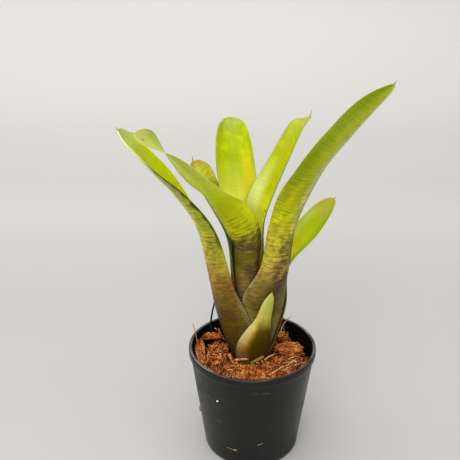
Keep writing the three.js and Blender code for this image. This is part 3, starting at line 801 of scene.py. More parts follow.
def leaf_skin(name, shape, colours, washes, marks, margin):
    """Leaf surface: colour along the blade, then washes of marking, painted shade and highlight."""
    skin = Skin(
        name,
        0.40,
        Subsurface_Weight=0.10,
        Subsurface_Radius=(0.8, 1.0, 0.2),
        Subsurface_Scale=0.8 * MM,
        Specular_IOR_Level=LEAF_GLOSS,
    )
    chart = skin.node("UVMap", uv_map="surface").outputs["UV"]
    surface = skin.stretch(chart, (shape.width, shape.total, 1.0))
    fields = skin.group(leaf_markings, {"Surface": surface})
    # the drift keeps every change of colour from running straight across the blade
    drift = skin.noise(surface, 140.0, detail=3.0).node.outputs["Color"]
    shift = skin.stretch(drift, (0.20, 0.06, 0.0), (-0.10, -0.03, 0.0))
    ragged = skin.vector("ADD", chart, shift)
    colour = skin.ramp(skin.split(ragged)["Y"], colours)
    colour = skin.mix(skin.between(fields["Veins"], 0.42, 0.62, 0.0, 0.12), colour, VEIN_COLOUR)

    relief = skin.math("MULTIPLY", fields["Veins"], 0.6)
    pale = None
    for field, wash_colour, strength, cover, across, along in washes:
        inputs = {"Chart": ragged, "Cover": cover, "Soft": WASH_SOFT[field]}
        if field != "Plain":
            inputs["Level"] = fields[field]
        inputs |= {f"U{k}": value for k, value in enumerate(across)}
        inputs |= {f"V{k}": value for k, value in enumerate(along)}
        mask = skin.group(marked_stretch, inputs)["Mask"]
        colour = skin.tint(colour, mask, strength, wash_colour)
        if field == "Bands":
            relief = skin.math("SUBTRACT", relief, skin.math("MULTIPLY", mask, 0.35))
        if field == "Scales":
            relief = skin.math("ADD", relief, mask)
            pale = mask if pale is None else skin.math("MAXIMUM", pale, mask)

    # thin pale line that follows the two margins
    middle = skin.math("ABSOLUTE", skin.math("SUBTRACT", skin.split(chart)["X"], 0.5))
    colour = skin.mix(skin.between(middle, 0.478, 0.5, 0.0, margin), colour, MARGIN_COLOUR)

    for place_u, place_v, reach_u, reach_v, mark_colour, strength in marks:
        place = (place_u * shape.width, place_v * shape.total, 0.0)
        reach = (reach_u * MM, reach_v * MM, 1.0)
        inputs = {"Surface": surface, "Clouds": fields["Scales"], "Place": place, "Reach": reach}
        colour = skin.tint(colour, skin.group(spot, inputs)["Mask"], strength, mark_colour)

    rough = skin.between(fields["Clouds"], 0.3, 0.7, *LEAF_ROUGHNESS)
    if pale is not None:
        rough = skin.math("ADD", rough, skin.math("MULTIPLY", pale, 0.3))
    return skin.finish(colour, relief, 0.30, 0.20 * MM, roughness=rough)


# Horny point: how far inside the tip it starts and its radius, in mm, and its rings
HORN_INSIDE = 1.5
HORN_RADIUS = 0.45
HORN_RINGS = 7


def build_leaf(name, leaf, sizes):
    """One leaf: two skins a blade's thickness apart, joined along the margin."""
    shape = LeafShape(leaf)
    rows = round(shape.total / sizes.row_length)
    bm = bmesh.new()
    share_layer = bm.verts.layers.float.new("share")
    run_layer = bm.verts.layers.float.new("run")
    bmesh.ops.create_grid(bm, x_segments=sizes.columns, y_segments=rows, size=1.0)
    for vert in bm.verts:
        vert[share_layer] = vert.co.x
        vert[run_layer] = (vert.co.y + 1) / 2
    upper = list(bm.verts)
    upper_faces = set(bm.faces)
    copied = bmesh.ops.duplicate(bm, geom=bm.verts[:] + bm.edges[:] + bm.faces[:])["geom"]
    under = only(bmesh.types.BMVert, copied)

    # rows stand closer together towards the tip
    sections = {}
    lengths = {}
    for side, verts in ((1, upper), (-1, under)):
        for vert in verts:
            row = round(vert[run_layer] * rows)
            if row not in sections:
                lengths[row] = shape.total * (1 - (1 - row / rows) ** sizes.crowding)
                sections[row] = shape.section(lengths[row])
            share = vert[share_layer]
            point, face = shape.place(sections[row], share)
            thickness = sizes.thickness + (sizes.margin_thickness - sizes.thickness) * share**2
            vert.co = point + face * (side * thickness / 2)
            vert[run_layer] = lengths[row] / shape.total
    open_edges = [edge for edge in bm.edges if edge.is_boundary]
    bmesh.ops.bridge_loops(bm, edges=open_edges)
    for face in set(bm.faces) - upper_faces:
        face.material_index = 1

    # horny point that carries on from the tip
    length, rise = leaf["horn"]
    centre, heading, *_ = shape.section(shape.total - HORN_INSIDE * MM)
    heading = heading.normalized()
    path = []
    radii = []
    for k in range(HORN_RINGS):
        reach = k / (HORN_RINGS - 1)
        bend = Vector((0, 0, rise * reach)) + heading
        path.append(centre + bend.normalized() * (HORN_INSIDE * MM + length * MM) * reach)
        radii.append(HORN_RADIUS * MM * (1.15 - reach))
    for face in sweep(bm, path, radii, sides=8, material=2):
        for vert in face.verts:
            vert[run_layer] = 1.0
    bmesh.ops.recalc_face_normals(bm, faces=bm.faces)

    chart = bm.loops.layers.uv.new("surface")
    for face in bm.faces:
        for loop in face.loops:
            loop[chart].uv = (0.5 + loop.vert[share_layer] / 2, loop.vert[run_layer])
    materials = [
        leaf_skin(
            f"{name} {side}",
            shape,
            leaf[side],
            leaf.get(f"washes_{side}", washes),
            leaf.get(f"marks_{side}", ()),
            leaf.get("margin", MARGIN_STRENGTH),
        )
        for side, washes in (("upper", UPPER_WASHES), ("under", UNDER_WASHES))
    ]
    horn = grained_skin("leaf horn", 0.5, ("#5a3a1c", "#a8793e"), 900.0, relief=(0.3, 0.1 * MM))
    piece = new_object(f"{name}_blade", bm, [*materials, horn])
    subdivide(piece, 1)
    seat(piece, "leaf_blade", name)


# Pot

# Outside of the wall in mm: radius at the foot, how much it widens, and its height
WALL_FOOT, WALL_FLARE, WALL_TOP = 33.6, 10.2, 76
WALL_STEPS = 24
INSIDE_TOP, INSIDE_DROP = 75.0, 72.5

# Drawn section in mm. A round has its centre, radius, start and end angle, and steps.
FOOT_ROUND = ((31.6, 2), 2, -80, -10, 6)
LIP_FOOT = ((43.9, 75.9), (44.2, 76.0))
LIP_ROUNDS = (
    ((44.4, 76.6), 0.6, -90, 0, 4),
    ((44.0, 80.0), 1.0, 0, 90, 6),
    ((43.4, 80.2), 0.8, 90, 180, 5),
)
LIP_INSIDE = ((42.6, 78.0), (42.6, 76.0))

# The lip's top edge gets a painted highlight between two heights, and the inside
# is dull up to a third
LIP_HIGHLIGHT_LOW, LIP_HIGHLIGHT_FULL = 80.7 * MM, 80.95 * MM
DULL_TOP = 79.8 * MM

DRAIN_RING, DRAIN_RADIUS, DRAIN_DEPTH = 23 * MM, 4 * MM, 6 * MM


def plastic_skin(colour):
    """Satin black nursery plastic with dust, faint handling marks and a painted lip highlight."""
    skin = Skin("pot plastic", 0.42, Specular_IOR_Level=0.33)
    place = skin.place()
    marks = skin.group(scuffs, {"Place": place})
    tone = skin.tint(colour, marks["Dust"], 0.20, "#202020")
    tone = skin.tint(tone, marks["Scratch"], 0.35, "#6a6a68")
    # painted highlight along the lip's top edge, patchy with the dust
    painted_highlight = skin.between(skin.split(place)["Z"], LIP_HIGHLIGHT_LOW, LIP_HIGHLIGHT_FULL, 0.0, 0.8)
    tone = skin.tint(tone, painted_highlight, skin.between(marks["Dust"], -0.2, 0.7), "#77756f")
    rough = skin.between(marks["Dust"], 0.0, 1.0, 0.34, 0.50)
    return skin.finish(tone, skin.noise(place, 2600.0), 0.12, 0.08 * MM, roughness=rough)


def shaded_plastic():
    """The same plastic inside, dull with dust from the mix and painted upright reflections."""
    # the reddish streaks that run upwards are a painted reflection
    colours = ("#030201", "#130d08")
    return grained_skin(
        "pot plastic inside", 0.75, colours, 260.0, tall=0.15, places=(0.4, 0.8),
        Specular_IOR_Level=0.06,
    )


def pot_wall_radius(height):
    """Outside radius of the tapered wall at a height in mm."""
    return (WALL_FOOT + WALL_FLARE * height / WALL_TOP) * MM


def build_pot(sizes):
    """Nursery pot: a turned shell with drain holes cut through its floor."""
    low, high = 2 * MM, WALL_TOP * MM
    wall = sizes.wall
    profile = [(0.0, 0.0), (31.2 * MM, 0.0), *arc(*FOOT_ROUND, unit=MM)]
    for k in range(WALL_STEPS + 1):
        height = low + 0.4 * MM + (high - low - 0.8 * MM) * k / WALL_STEPS
        profile.append((pot_wall_radius(height / MM), height))
    # the lip stands a little proud of the wall and is rolled over at its top
    profile += [metres(point) for point in LIP_FOOT]
    for section in LIP_ROUNDS:
        profile += arc(*section, unit=MM)
    profile += [metres(point) for point in LIP_INSIDE]
    for k in range(WALL_STEPS + 1):
        height = (INSIDE_TOP - INSIDE_DROP * k / WALL_STEPS) * MM
        profile.append((pot_wall_radius(height / MM) - wall, height))
    profile += [(pot_wall_radius(1.8) - wall - 0.6 * MM, sizes.floor), (0.0, sizes.floor)]
    bm = bmesh.new()
    turned(bm, profile, sizes.steps)
    for face in bm.faces:
        centre = face.calc_center_median()
        within = math.hypot(centre.x, centre.y) < pot_wall_radius(centre.z / MM) - wall / 2
        if within and sizes.floor / 2 < centre.z < DULL_TOP:
            face.material_index = 1
    pot = new_object("pot_shell", bm, [plastic_skin((*sizes.colour, 1.0)), shaded_plastic()])

    cutters = bmesh.new()
    for k in range(sizes.drain_holes):
        angle = 2 * math.pi * (k + 0.5) / sizes.drain_holes
        place = (DRAIN_RING * math.cos(angle), DRAIN_RING * math.sin(angle), sizes.floor / 2)
        bmesh.ops.create_cone(
            cutters, cap_ends=True, segments=32, radius1=DRAIN_RADIUS, radius2=DRAIN_RADIUS,
            depth=DRAIN_DEPTH, matrix=Matrix.Translation(place),
        )
    cutter = new_object("drain_cutter", cutters, [])
    boolean = pot.modifiers.new("Drain holes", "BOOLEAN")
    boolean.object = cutter
    boolean.solver = "EXACT"
    bpy.context.view_layer.update()
    graph = bpy.context.evaluated_depsgraph_get()
    cut = bpy.data.meshes.new_from_object(pot.evaluated_get(graph))
    pot.modifiers.clear()
    pot.data = cut
    bpy.data.objects.remove(cutter)
    seat(pot, "pot_plastic", "pot")


# Growing mix

# Height of the mix, how far it is crowned, and its room inside the pot at its top
MIX_TOP = 66.5 * MM
MIX_CROWN = 1.0 * MM
BED_REACH = 41.0 * MM
BED_RINGS = 42
BED_STEPS = 132
BED_LOWER_RINGS = (50, 30, 12, 3)

# Round the plant's foot: how far chips keep away, and the dip's edge, slope and depth
FOOT_CLEARANCE = 16 * MM
DIP_EDGE, DIP_SLOPE, DIP_DEPTH = 19 * MM, 4 * MM, 5 * MM

# Stretch of the ridges on a piece whose fibres stand upright, and on one whose fibres lie
UPRIGHT_RIDGES = (9.0, 0.9, 3.0)
LYING_RIDGES = (1.1, 3.0, 3.0)

# Gap that pieces of the mix keep from the outside of the pot's wall
POT_GAP = 2.0 * MM


def husk_skin(name="coconut husk", cover=0.0, cover_colour="#8f8068"):
    """Torn coconut husk: matted strands, with painted light on them and painted shade between."""
    skin = Skin(name, 0.85, Specular_IOR_Level=0.05)
    grain, tone, ridge = (
        skin.node("Attribute", attribute_name=layer).outputs for layer in ("grain", "tone", "ridge")
    )
    inputs = {"Place": grain["Vector"], "Tone": tone["Fac"], "Ridge": ridge["Fac"]}
    husk = skin.group(husk_strands, inputs)
    colour = skin.mix(cover, husk["Color"], cover_colour) if cover else husk["Color"]
    return skin.finish(colour, husk["Height"], 0.9, 0.7 * MM)


def husk_layers(bm):
    """Attributes that the husk material reads, made where they are missing."""
    layers = bm.verts.layers
    kinds = ((layers.float_vector, "grain"), (layers.float, "tone"), (layers.float, "ridge"))
    return tuple(kind.get(name) or kind.new(name) for kind, name in kinds)


def template(name, make):
    """Mesh that is made once and copied into each piece of its kind."""
    if name not in bpy.data.meshes:
        bm = bmesh.new()
        make(bm)
        bm.to_mesh(bpy.data.meshes.new(name))
        bm.free()
    return bpy.data.meshes[name]


def add_template(bm, mesh):
    """Copies a template into the bmesh and gives its new vertices."""
    bm.from_mesh(mesh)
    bm.verts.ensure_lookup_table()
    return bm.verts[-len(mesh.vertices) :]


def cut_block(cuts):
    """Cube of 2 m sides cut into an even grid."""

    def make(bm):
        husk_layers(bm)
        bmesh.ops.create_cube(bm, size=2.0)
        bmesh.ops.subdivide_edges(bm, edges=bm.edges[:], cuts=cuts, use_grid_fill=True)

    return template(f"husk block {cuts}", make)


def straight_strand(sides, rows):
    """Upright strand of unit radius with a ring at each unit of height."""
    points = [(0, 0, k) for k in range(rows)]
    name = f"straight strand {sides} {rows}"
    return template(name, lambda bm: sweep(bm, points, [1.0] * rows, sides))


def rough_noise(at, *layers):
    """Noise at a place, in layers that each have a strength and a fineness."""
    return sum(strength * noise.noise(at * fineness) for strength, fineness in layers)


def husk_piece(
    bm, layers, size, turn, at, seed, tone, cuts, torn=0.16, square=5, taper=0.0, upright=False,
    within_pot=True,
):
    """Torn piece of husk: a cut block, rounded, ridged, frayed and narrowed at one end."""
    grain_layer, tone_layer, ridge_layer = layers
    half = Vector(size) / 2
    shift = Vector((seed * 7.3, seed * 3.1, seed * 5.7))
    fine = min(half)
    ridges = UPRIGHT_RIDGES if upright else LYING_RIDGES
    for vert in add_template(bm, cut_block(cuts)):
        x, y, z = vert.co
        longest = max(abs(x), abs(y), abs(z))
        rounded = (abs(x) ** square + abs(y) ** square + abs(z) ** square) ** (1 / square)
        x, y, z = (value * longest / rounded for value in (x, y, z))
        narrowing = (1 - 0.12 * abs(x) ** 4) * (1 - taper * (1 - x) / 2)
        across = Vector([value * step for value, step in zip((x, y, z), ridges)]) + shift
        ridge = rough_noise(across, (1, 1), (0.6, 2.6), (0.3, 6.1))
        y *= narrowing * (1 + torn * ridge)
        z *= narrowing * (1 + torn * ridge)
        fray = noise.noise(Vector((y * 1.7, z * 1.7, seed * 1.9)))
        fray += 0.5 * noise.noise(Vector((y * 6, z * 6, seed)))
        local = Vector((x * half.x, y * half.y, z * half.z))
        local.x += abs(x) ** 3 * fray * fine * 1.1 * (1 if x > 0 else -1)
        grain = Vector((local.y, local.x, local.z)) if upright else local
        vert[grain_layer] = grain + shift * 0.01
        vert[tone_layer] = tone + 0.35 * noise.noise(Vector((x, y, z)) * 1.3 + shift)
        # the husk material paints the colour lighter where this ridge bulges, as painted light
        vert[ridge_layer] = 0.5 + 0.45 * ridge
        vert.co = at + turn @ local
        if within_pot:
            reach = math.hypot(vert.co.x, vert.co.y)
            room = pot_wall_radius(vert.co.z / MM) - POT_GAP
            if reach > room:
                vert.co.x *= room / reach
                vert.co.y *= room / reach


def husk_strand(bm, layers, path, radius, tone, sides=5):
    """Loose strand of husk that thins towards its end."""
    rows = len(path)
    along = (path[1] - path[0]).normalized()
    turn = along.to_track_quat("Z", "Y").to_matrix()
    turns = []
    for k in range(rows):
        heading = (path[min(k + 1, rows - 1)] - path[max(k - 1, 0)]).normalized()
        turn = along.rotation_difference(heading).to_matrix() @ turn
        along = heading
        turns.append(turn.copy())
    for vert in add_template(bm, straight_strand(sides, rows)):
        row = round(vert.co.z)
        size = radius * (1 - 0.65 * (row / (rows - 1)) ** 2)
        vert.co = path[row] + turns[row] @ Vector((vert.co.x * size, vert.co.y * size, 0.0))
        vert[layers[0]] = vert.co
        vert[layers[1]] = tone
        vert[layers[2]] = 0.6


def mix_height(x, y):
    """Height of the bed between the chips, all in metres."""
    radius = math.hypot(x, y) / (45 * MM)
    u, v = x / MM, y / MM
    ripple = math.sin(0.31 * u + 1) * math.cos(0.27 * v) + 0.6 * math.sin(0.7 * v - 0.4 * u)
    return MIX_TOP + MIX_CROWN * (1 - radius**2) + 0.7 * MM * ripple


# Dark hollows between the chips: place, reach and depth in mm
HOLLOWS = (
    (-23.5, 23.8, 5.5, 5.0),
    (26.5, 3.0, 5.0, 3.5),
    (33.0, -6.0, 4.0, 3.0),
    (-34.0, -14.0, 4.0, 3.0),
    (-32.4, -5.0, 3.4, 6.0),
    (-31.6, 3.5, 3.2, 6.0),
)


def plant_distance(x, y):
    """Distance from the plant's axis."""
    return math.hypot(x - PLANT_AXIS.x, y - PLANT_AXIS.y)


def settle(x, y):
    """Height of the bed with its unevenness, its hollows and the dip round the plant."""
    place = Vector((x, y, 0)) / MM
    height = mix_height(x, y) + rough_noise(place, (1.0 * MM, 0.32), (0.6 * MM, 0.85))
    for hollow_x, hollow_y, reach, depth in HOLLOWS:
        away = math.hypot(place.x - hollow_x, place.y - hollow_y) / reach
        height -= depth * MM * math.exp(-(away**2))
    sink = min(max((DIP_EDGE - plant_distance(x, y)) / DIP_SLOPE, 0.0), 1.0)
    return height - DIP_DEPTH * sink


def free_place(draw, reach):
    """Random place on the bed, clear of the plant's foot."""
    while True:
        radius = reach * math.sqrt(draw.random())
        angle = draw.uniform(0, 2 * math.pi)
        x, y = radius * math.cos(angle), radius * math.sin(angle)
        if plant_distance(x, y) > FOOT_CLEARANCE:
            return x, y


def build_bed():
    """Turned bed of husk with an uneven top, as a bmesh."""
    bm = bmesh.new()
    grain_layer, tone_layer, ridge_layer = husk_layers(bm)
    profile = [(BED_REACH * k / BED_RINGS, MIX_TOP) for k in range(BED_RINGS + 1)]
    for height in BED_LOWER_RINGS:
        profile.append((pot_wall_radius(height) - 1.5 * MM, height * MM))
    profile.append((0.0, BED_LOWER_RINGS[-1] * MM))
    turned(bm, profile, BED_STEPS)
    for vert in bm.verts:
        if vert.co.z > MIX_TOP - 1 * MM:
            vert.co.z = settle(vert.co.x, vert.co.y)
        at = vert.co / MM
        vert[grain_layer] = vert.co
        vert[tone_layer] = -0.15 + 0.3 * noise.noise(at * 0.2)
        vert[ridge_layer] = 0.3 + 0.4 * noise.noise(at * 0.9)
    # a piece finds its vertices at the end of the list, which has no gaps after this
    bare = bpy.data.meshes.new("bare bed")
    bm.to_mesh(bare)
    bm.free()
    bm = bmesh.new()
    bm.from_mesh(bare)
    bpy.data.meshes.remove(bare)
    return bm


def build_mix(sizes):
    """Bed of husk with small chips and crumbs strewn over it."""
    draw = random.Random(sizes.seed)
    bm = build_bed()
    layers = husk_layers(bm)
    for _ in range(sizes.chips):
        length = draw.uniform(3, 9) * MM
        size = (length, length * draw.uniform(0.3, 0.7), draw.uniform(1.4, 3.6) * MM)
        x, y = free_place(draw, BED_REACH - length / 2)
        turn = Matrix.Rotation(draw.uniform(0, 2 * math.pi), 3, "Z")
        tilt = Matrix.Rotation(draw.gauss(0, 0.35), 3, "Y")
        turn @= tilt @ Matrix.Rotation(draw.gauss(0, 0.5), 3, "X")
        at = Vector((x, y, settle(x, y) + draw.uniform(0.0, 1.6) * MM))
        tone = draw.uniform(0.2, 0.85)
        seed = draw.uniform(0, 50)
        husk_piece(bm, layers, size, turn, at, seed, tone, cuts=3, torn=0.3, square=8)
    for _ in range(sizes.crumbs):
        size = [draw.uniform(0.4, 1.7) * MM for _ in range(3)]
        x, y = free_place(draw, BED_REACH - 1 * MM)
        angle = draw.uniform(0, 2 * math.pi)
        turn = Matrix.Rotation(angle, 3, Vector([draw.gauss(0, 1) for _ in range(3)]))
        at = Vector((x, y, settle(x, y) + draw.uniform(0.2, 1.6) * MM))
        seed = draw.uniform(0, 50)
        tone = draw.uniform(0.1, 1.0)
        husk_piece(bm, layers, size, turn, at, seed, tone, cuts=1, torn=0.5)
    bed = new_object("growing_mix_bed", bm, [husk_skin()])
    seat(bed, "coconut_husk", "growing_mix")


# Large chips: place and size in mm, turns in degrees, the seed of their ridges, how light
# they are, how much pith covers them, and a fibre that rises from some of them
LARGE_CHIPS = {
    "husk_chip_left": dict(
        at=(-37.8, 1.0, 70), yaw=100, roll=14, size=(37, 10, 11), seed=3, tone=0.95, pith=0.50,
        taper=0.6, fibre=((-39.0, 8.0, 71), (-39.8, 10.5, 79), (-42.8, 14.5, 90)), fibre_tone=0.7,
    ),
    "husk_chip_front": dict(
        at=(3.5, -18, 66.8), yaw=-2, roll=4, size=(49, 16, 8), seed=5, tone=0.66, pith=0.20,
        upright=True,
    ),
    "husk_chip_fibrous": dict(
        at=(-25, 1, 68.8), yaw=78, size=(25, 12.5, 10.5), seed=8, tone=0.62,
    ),
    "husk_chip_right": dict(
        at=(27.4, 9.0, 70), yaw=-12, size=(15, 12.5, 9.5), seed=13, tone=0.80, pith=0.35,
        taper=0.15,
    ),
    "husk_chip_back_left": dict(
        at=(-31, 23.5, 73.6), yaw=4, size=(16, 4.5, 3.4), seed=21, tone=0.85,
    ),
    "husk_chip_back_right": dict(
        at=(22.6, 27, 71.6), yaw=10, size=(8, 5.5, 4.6), seed=34, tone=0.7,
        fibre=((21.6, 28, 71), (23, 28.0, 79), (26.5, 26.5, 86), (31, 25, 90)), fibre_tone=1.5,
    ),
}
CHIP_CUTS = 13
FIBRE_POINTS = 12
FIBRE_RADIUS = 0.55 * MM


def build_large_chip(
    name, at, yaw, size, seed, tone, roll=0, pith=0.0, taper=0.0, upright=False, fibre=(),
    fibre_tone=0.5,
):
    """Large husk chip that lies on the mix as a piece of its own."""
    bm = bmesh.new()
    layers = husk_layers(bm)
    turn = turned_by(yaw, "Z") @ turned_by(roll, "X")
    husk_piece(
        bm, layers, metres(size), turn, Vector(at) * MM, seed, tone, CHIP_CUTS, torn=0.24,
        square=14, taper=taper, upright=upright,
    )
    if fibre:
        path = curve_points(fibre, FIBRE_POINTS)
        husk_strand(bm, layers, path, FIBRE_RADIUS, fibre_tone, sides=8)
    bmesh.ops.recalc_face_normals(bm, faces=bm.faces)
    skin = husk_skin(name.replace("_", " "), pith, "#9c5020")
    piece = new_object(f"{name}_torn", bm, [skin])
    subdivide(piece, 1)
    seat(piece, "coconut_husk", name)


# Strands and slivers that lie where the eye falls on them: points in mm, radius, tone
LAID_STRANDS = (
    (((8.6, -5.0, 71.2), (12.5, -2.6, 73.0), (17.8, 0.4, 73.2)), 0.60, 1.15),
    (
        ((11.0, -24.6, 72.2), (16.5, -21.0, 73.4), (21.0, -15.5, 73.0), (25.5, -12.0, 72.0)),
        0.45,
        1.30,
    ),
    (((26.4, -9.6, 71.0), (30.5, -6.5, 72.4), (34.0, -2.2, 71.6)), 0.32, 1.10),
    (((28.0, -14.0, 71.0), (32.0, -11.0, 72.4), (37.5, -8.5, 71.6)), 0.28, 1.05),
    (((24.0, -13.0, 71.4), (27.0, -10.5, 73.2), (33.5, -8.0, 72.6)), 0.30, 1.25),
    (((23.0, -15.5, 71.4), (28.5, -13.6, 73.0), (33.0, -11.0, 71.6)), 0.26, 1.20),
    (((27.5, -6.0, 71.6), (30.0, -9.5, 73.6), (31.0, -14.0, 71.8)), 0.28, 1.25),
    (((25.5, -4.6, 71.6), (31.0, -3.4, 73.4), (36.0, -4.0, 71.6)), 0.26, 1.20),
    (((-27.0, 22.0, 81.5), (-24.0, 20.5, 78.5), (-20.5, 18.0, 74.5)), 0.50, 0.55),
    (((-24.5, 22.0, 81.0), (-21.8, 19.0, 77.0), (-19.5, 16.5, 74.0)), 0.40, 0.65),
    (((-12.5, -4.2, 70.6), (-7.5, -4.8, 71.8), (-1.6, -3.8, 71.2)), 0.95, 0.98),
    (((-16.4, 0.0, 72.6), (-15.0, -4.0, 71.8), (-13.0, -9.5, 69.6)), 1.25, 0.80),
)

# Where loose strands lie thickest: place and spread in mm, share, heading and its spread
TANGLES = (
    (31.0, -7.0, 5.0, 0.20, 40, 35),
    (-25.0, 0.0, 5.5, 0.22, -50, 20),
    (22.0, -17.0, 5.5, 0.14, 50, 30),
    (-20.0, -14.0, 6.0, 0.14, -20, 50),
)

# Scrap of a withered leaf on the mix: place, size, turn about the upright and tilt
LEAF_SCRAP = ((3.4, -5.0, 71.4), (10.5, 2.6, 2.0), 24, 16)

# Random strands: points on each, how far out they reach, the height from which they drop
# on the mix, and the shortest step between two points
STRAND_POINTS = 9
STRAND_REACH = BED_REACH - 0.5 * MM
DROP_HEIGHT = 95 * MM
LEAST_STEP = 0.05 * MM


def strewn_path(draw, ground):
    """Random line that lies on the ground under it, and the radius of its strand."""
    pick = draw.random()
    for tangle_x, tangle_y, spread, share, mean, swing in TANGLES:
        pick -= share
        if pick < 0:
            x = (tangle_x + draw.gauss(0, spread)) * MM
            y = (tangle_y + draw.gauss(0, spread)) * MM
            heading = math.radians(draw.gauss(mean, swing))
            break
    else:
        x, y = free_place(draw, BED_REACH - 2 * MM)
        heading = draw.uniform(0, 2 * math.pi)
    length = draw.uniform(4, 13) * MM
    bend = draw.gauss(0, 0.5)
    radius = draw.choice((0.12, 0.16, 0.20, 0.26)) * MM
    lift = draw.uniform(0.0, 1.2) * MM
    path = []
    for k in range(STRAND_POINTS):
        angle = heading + bend * (k / STRAND_POINTS - 0.5)
        x += math.cos(angle) * length / STRAND_POINTS
        y += math.sin(angle) * length / STRAND_POINTS
        away = math.hypot(x, y)
        if away > STRAND_REACH:
            x, y = (value * STRAND_REACH / away for value in (x, y))
        hit = ground.ray_cast(Vector((x, y, DROP_HEIGHT)), DOWN)[0]
        height = hit.z if hit else MIX_TOP
        arch = lift * math.sin(math.pi * k / (STRAND_POINTS - 1))
        path.append(Vector((x, y, height + radius * 0.5 + arch)))
    for k in range(1, STRAND_POINTS - 1):
        path[k].z = max(path[k].z, (path[k - 1].z + path[k + 1].z) / 2)
    return path, radius


def build_strands(sizes, under):
    """Loose strands of husk draped over the chips and the bed."""
    draw = random.Random(sizes.seed + 1)
    bm = bmesh.new()
    layers = husk_layers(bm)
    for points, radius, tone in LAID_STRANDS:
        husk_strand(bm, layers, curve_points(points, 10), radius * MM, tone, sides=8)
    laid = bmesh.new()
    for piece in under:
        laid.from_mesh(piece.data)
    ground = BVHTree.FromBMesh(laid)
    laid.free()
    for _ in range(sizes.strands):
        path, radius = strewn_path(draw, ground)
        if min((b - a).length for a, b in zip(path, path[1:])) > LEAST_STEP:
            husk_strand(bm, layers, path, radius, draw.choice((0.0, 0.3, 0.6, 0.8, 1.0)))
    faces = set(bm.faces)
    at, size, yaw, tilt = LEAF_SCRAP
    turn = turned_by(yaw, "Z") @ turned_by(-tilt, "Y")
    husk_piece(
        bm, layers, metres(size), turn, Vector(at) * MM, seed=2.0, tone=0.5, cuts=7, torn=0.25,
        taper=0.5,
    )
    for face in set(bm.faces) - faces:
        face.material_index = 1
        face.smooth = True
    husk = husk_skin("husk strands loose")
    colours = ("#3c3408", "#a8963c")
    withered = grained_skin("withered leaf", 0.7, colours, 900.0, Specular_IOR_Level=0.1)
    strands = new_object("loose_husk_strands", bm, [husk, withered])
    seat(strands, "coconut_husk")


# Crumbs on the pot's wall: side place and height, size, all in mm, tilt and tone
WALL_CRUMBS = (
    (-12.2, 15.1, (2.8, 0.6, 1.4), 4, 0.30),
    (-16.0, 15.3, (4.6, 0.4, 0.4), -3, 0.15),
    (5.2, 22.3, (4.0, 0.5, 0.5), 14, 0.85),
    (-37.4, 29.2, (2.2, 1.6, 3.6), 0, 1.3),
)

# A pale grain among them, and a hair, as points of side place and height in mm
PALE_GRAIN = ((-24.4, 56.8), (1.3, 0.8, 1.2))
HAIR = ((-33.6, 55.4), (-30.6, 54.6), (-27.6, 54.6), (-28.0, 52.0), (-25.0, 50.4), (-22.0, 50.2))
HAIR_RADIUS = 0.07 * MM


def wall_place(x, height, proud=0.2):
    """Point on the near side of the pot's wall, from its side place and height in mm."""
    radius = pot_wall_radius(height) + proud * MM
    return Vector((x * MM, -math.sqrt(radius**2 - (x * MM) ** 2), height * MM))


def build_wall_crumbs():
    """Crumbs of husk, a pale grain and a hair that cling to the pot's wall."""
    bm = bmesh.new()
    layers = husk_layers(bm)
    for x, height, size, tilt, tone in WALL_CRUMBS:
        at = wall_place(x, height)
        turn = Matrix.Rotation(math.atan2(at.x, -at.y), 3, "Z") @ turned_by(-tilt, "Y")
        size = metres(size)
        husk_piece(bm, layers, size, turn, at, x, tone, cuts=3, torn=0.4, within_pot=False)
    path = [wall_place(x, height, 0.05) for x, height in HAIR]
    husk_strand(bm, layers, path, HAIR_RADIUS, tone=0.35)
    faces = set(bm.faces)
    place, size = PALE_GRAIN
    husk_piece(
        bm, layers, metres(size), Matrix.Identity(3), wall_place(*place), seed=9.0, tone=1.0,
        cuts=3, torn=0.3, within_pot=False,
    )
    for face in set(bm.faces) - faces:
        face.material_index = 1
    colours = ("#b8b4ac", "#ffffff")
    grain = grained_skin("pale mineral grain", 0.7, colours, 2500.0, detail=2.0)
    crumbs = new_object("wall_crumbs", bm, [husk_skin("dusty husk", 0.75), grain])
    seat(crumbs, "coconut_husk")


# Stem and stalk

# Section of the stem, as radius and height in mm
STEM_PROFILE = (
    (0, 49.8), (8.4, 49.8), (9.2, 50.6), (12.2, 55), (15.2, 60), (15.2, 63.3), (14.6, 64.4),
    (13, 65.3), (10.9, 67.2), (9.1, 71.3), (7.6, 75.2), (6, 79), (3.5, 82.5), (0, 84),
)
STEM_STEPS = 48

# Line of the stalk in mm, its rings, and its radius in mm with how much it thins
STALK_LINE = ((-29.5, 24.5, 63), (-29.8, 26, 84.5), (-26.5, 26, 104))
STALK_RINGS = 20
STALK_RADIUS, STALK_THINNING = 0.85, 0.30


def build_stem():
    """Short woody stem among the leaf bases."""
    bm = bmesh.new()
    turned(bm, [metres(point) for point in STEM_PROFILE], STEM_STEPS, PLANT_AXIS)
    bark = grained_skin(
        "woody stem", 0.8, ("#1d130a", "#5a4226"), 500.0, detail=5.0, distortion=0.4, tall=0.25,
        relief=(0.6, 0.5 * MM),
    )
    stem = new_object("stem_core", bm, [bark])
    seat(stem, "woody_stem", "stem")


def build_stalk():
    """Thin dry stalk that stands behind the left leaf."""
    bm = bmesh.new()
    rings = range(STALK_RINGS)
    radii = [(STALK_RADIUS - STALK_THINNING * k / (STALK_RINGS - 1)) * MM for k in rings]
    sweep(bm, curve_points(STALK_LINE, STALK_RINGS), radii, sides=12)
    dry = grained_skin(
        "dry stalk", 0.7, ("#060504", "#1c1712"), 2500.0, tall=0.1, relief=(0.4, 0.1 * MM),
        Specular_IOR_Level=0.15,
    )
    stalk = new_object("dry_stalk_strand", bm, [dry])
    seat(stalk, "dry_stalk", "dry_stalk")


# Studio

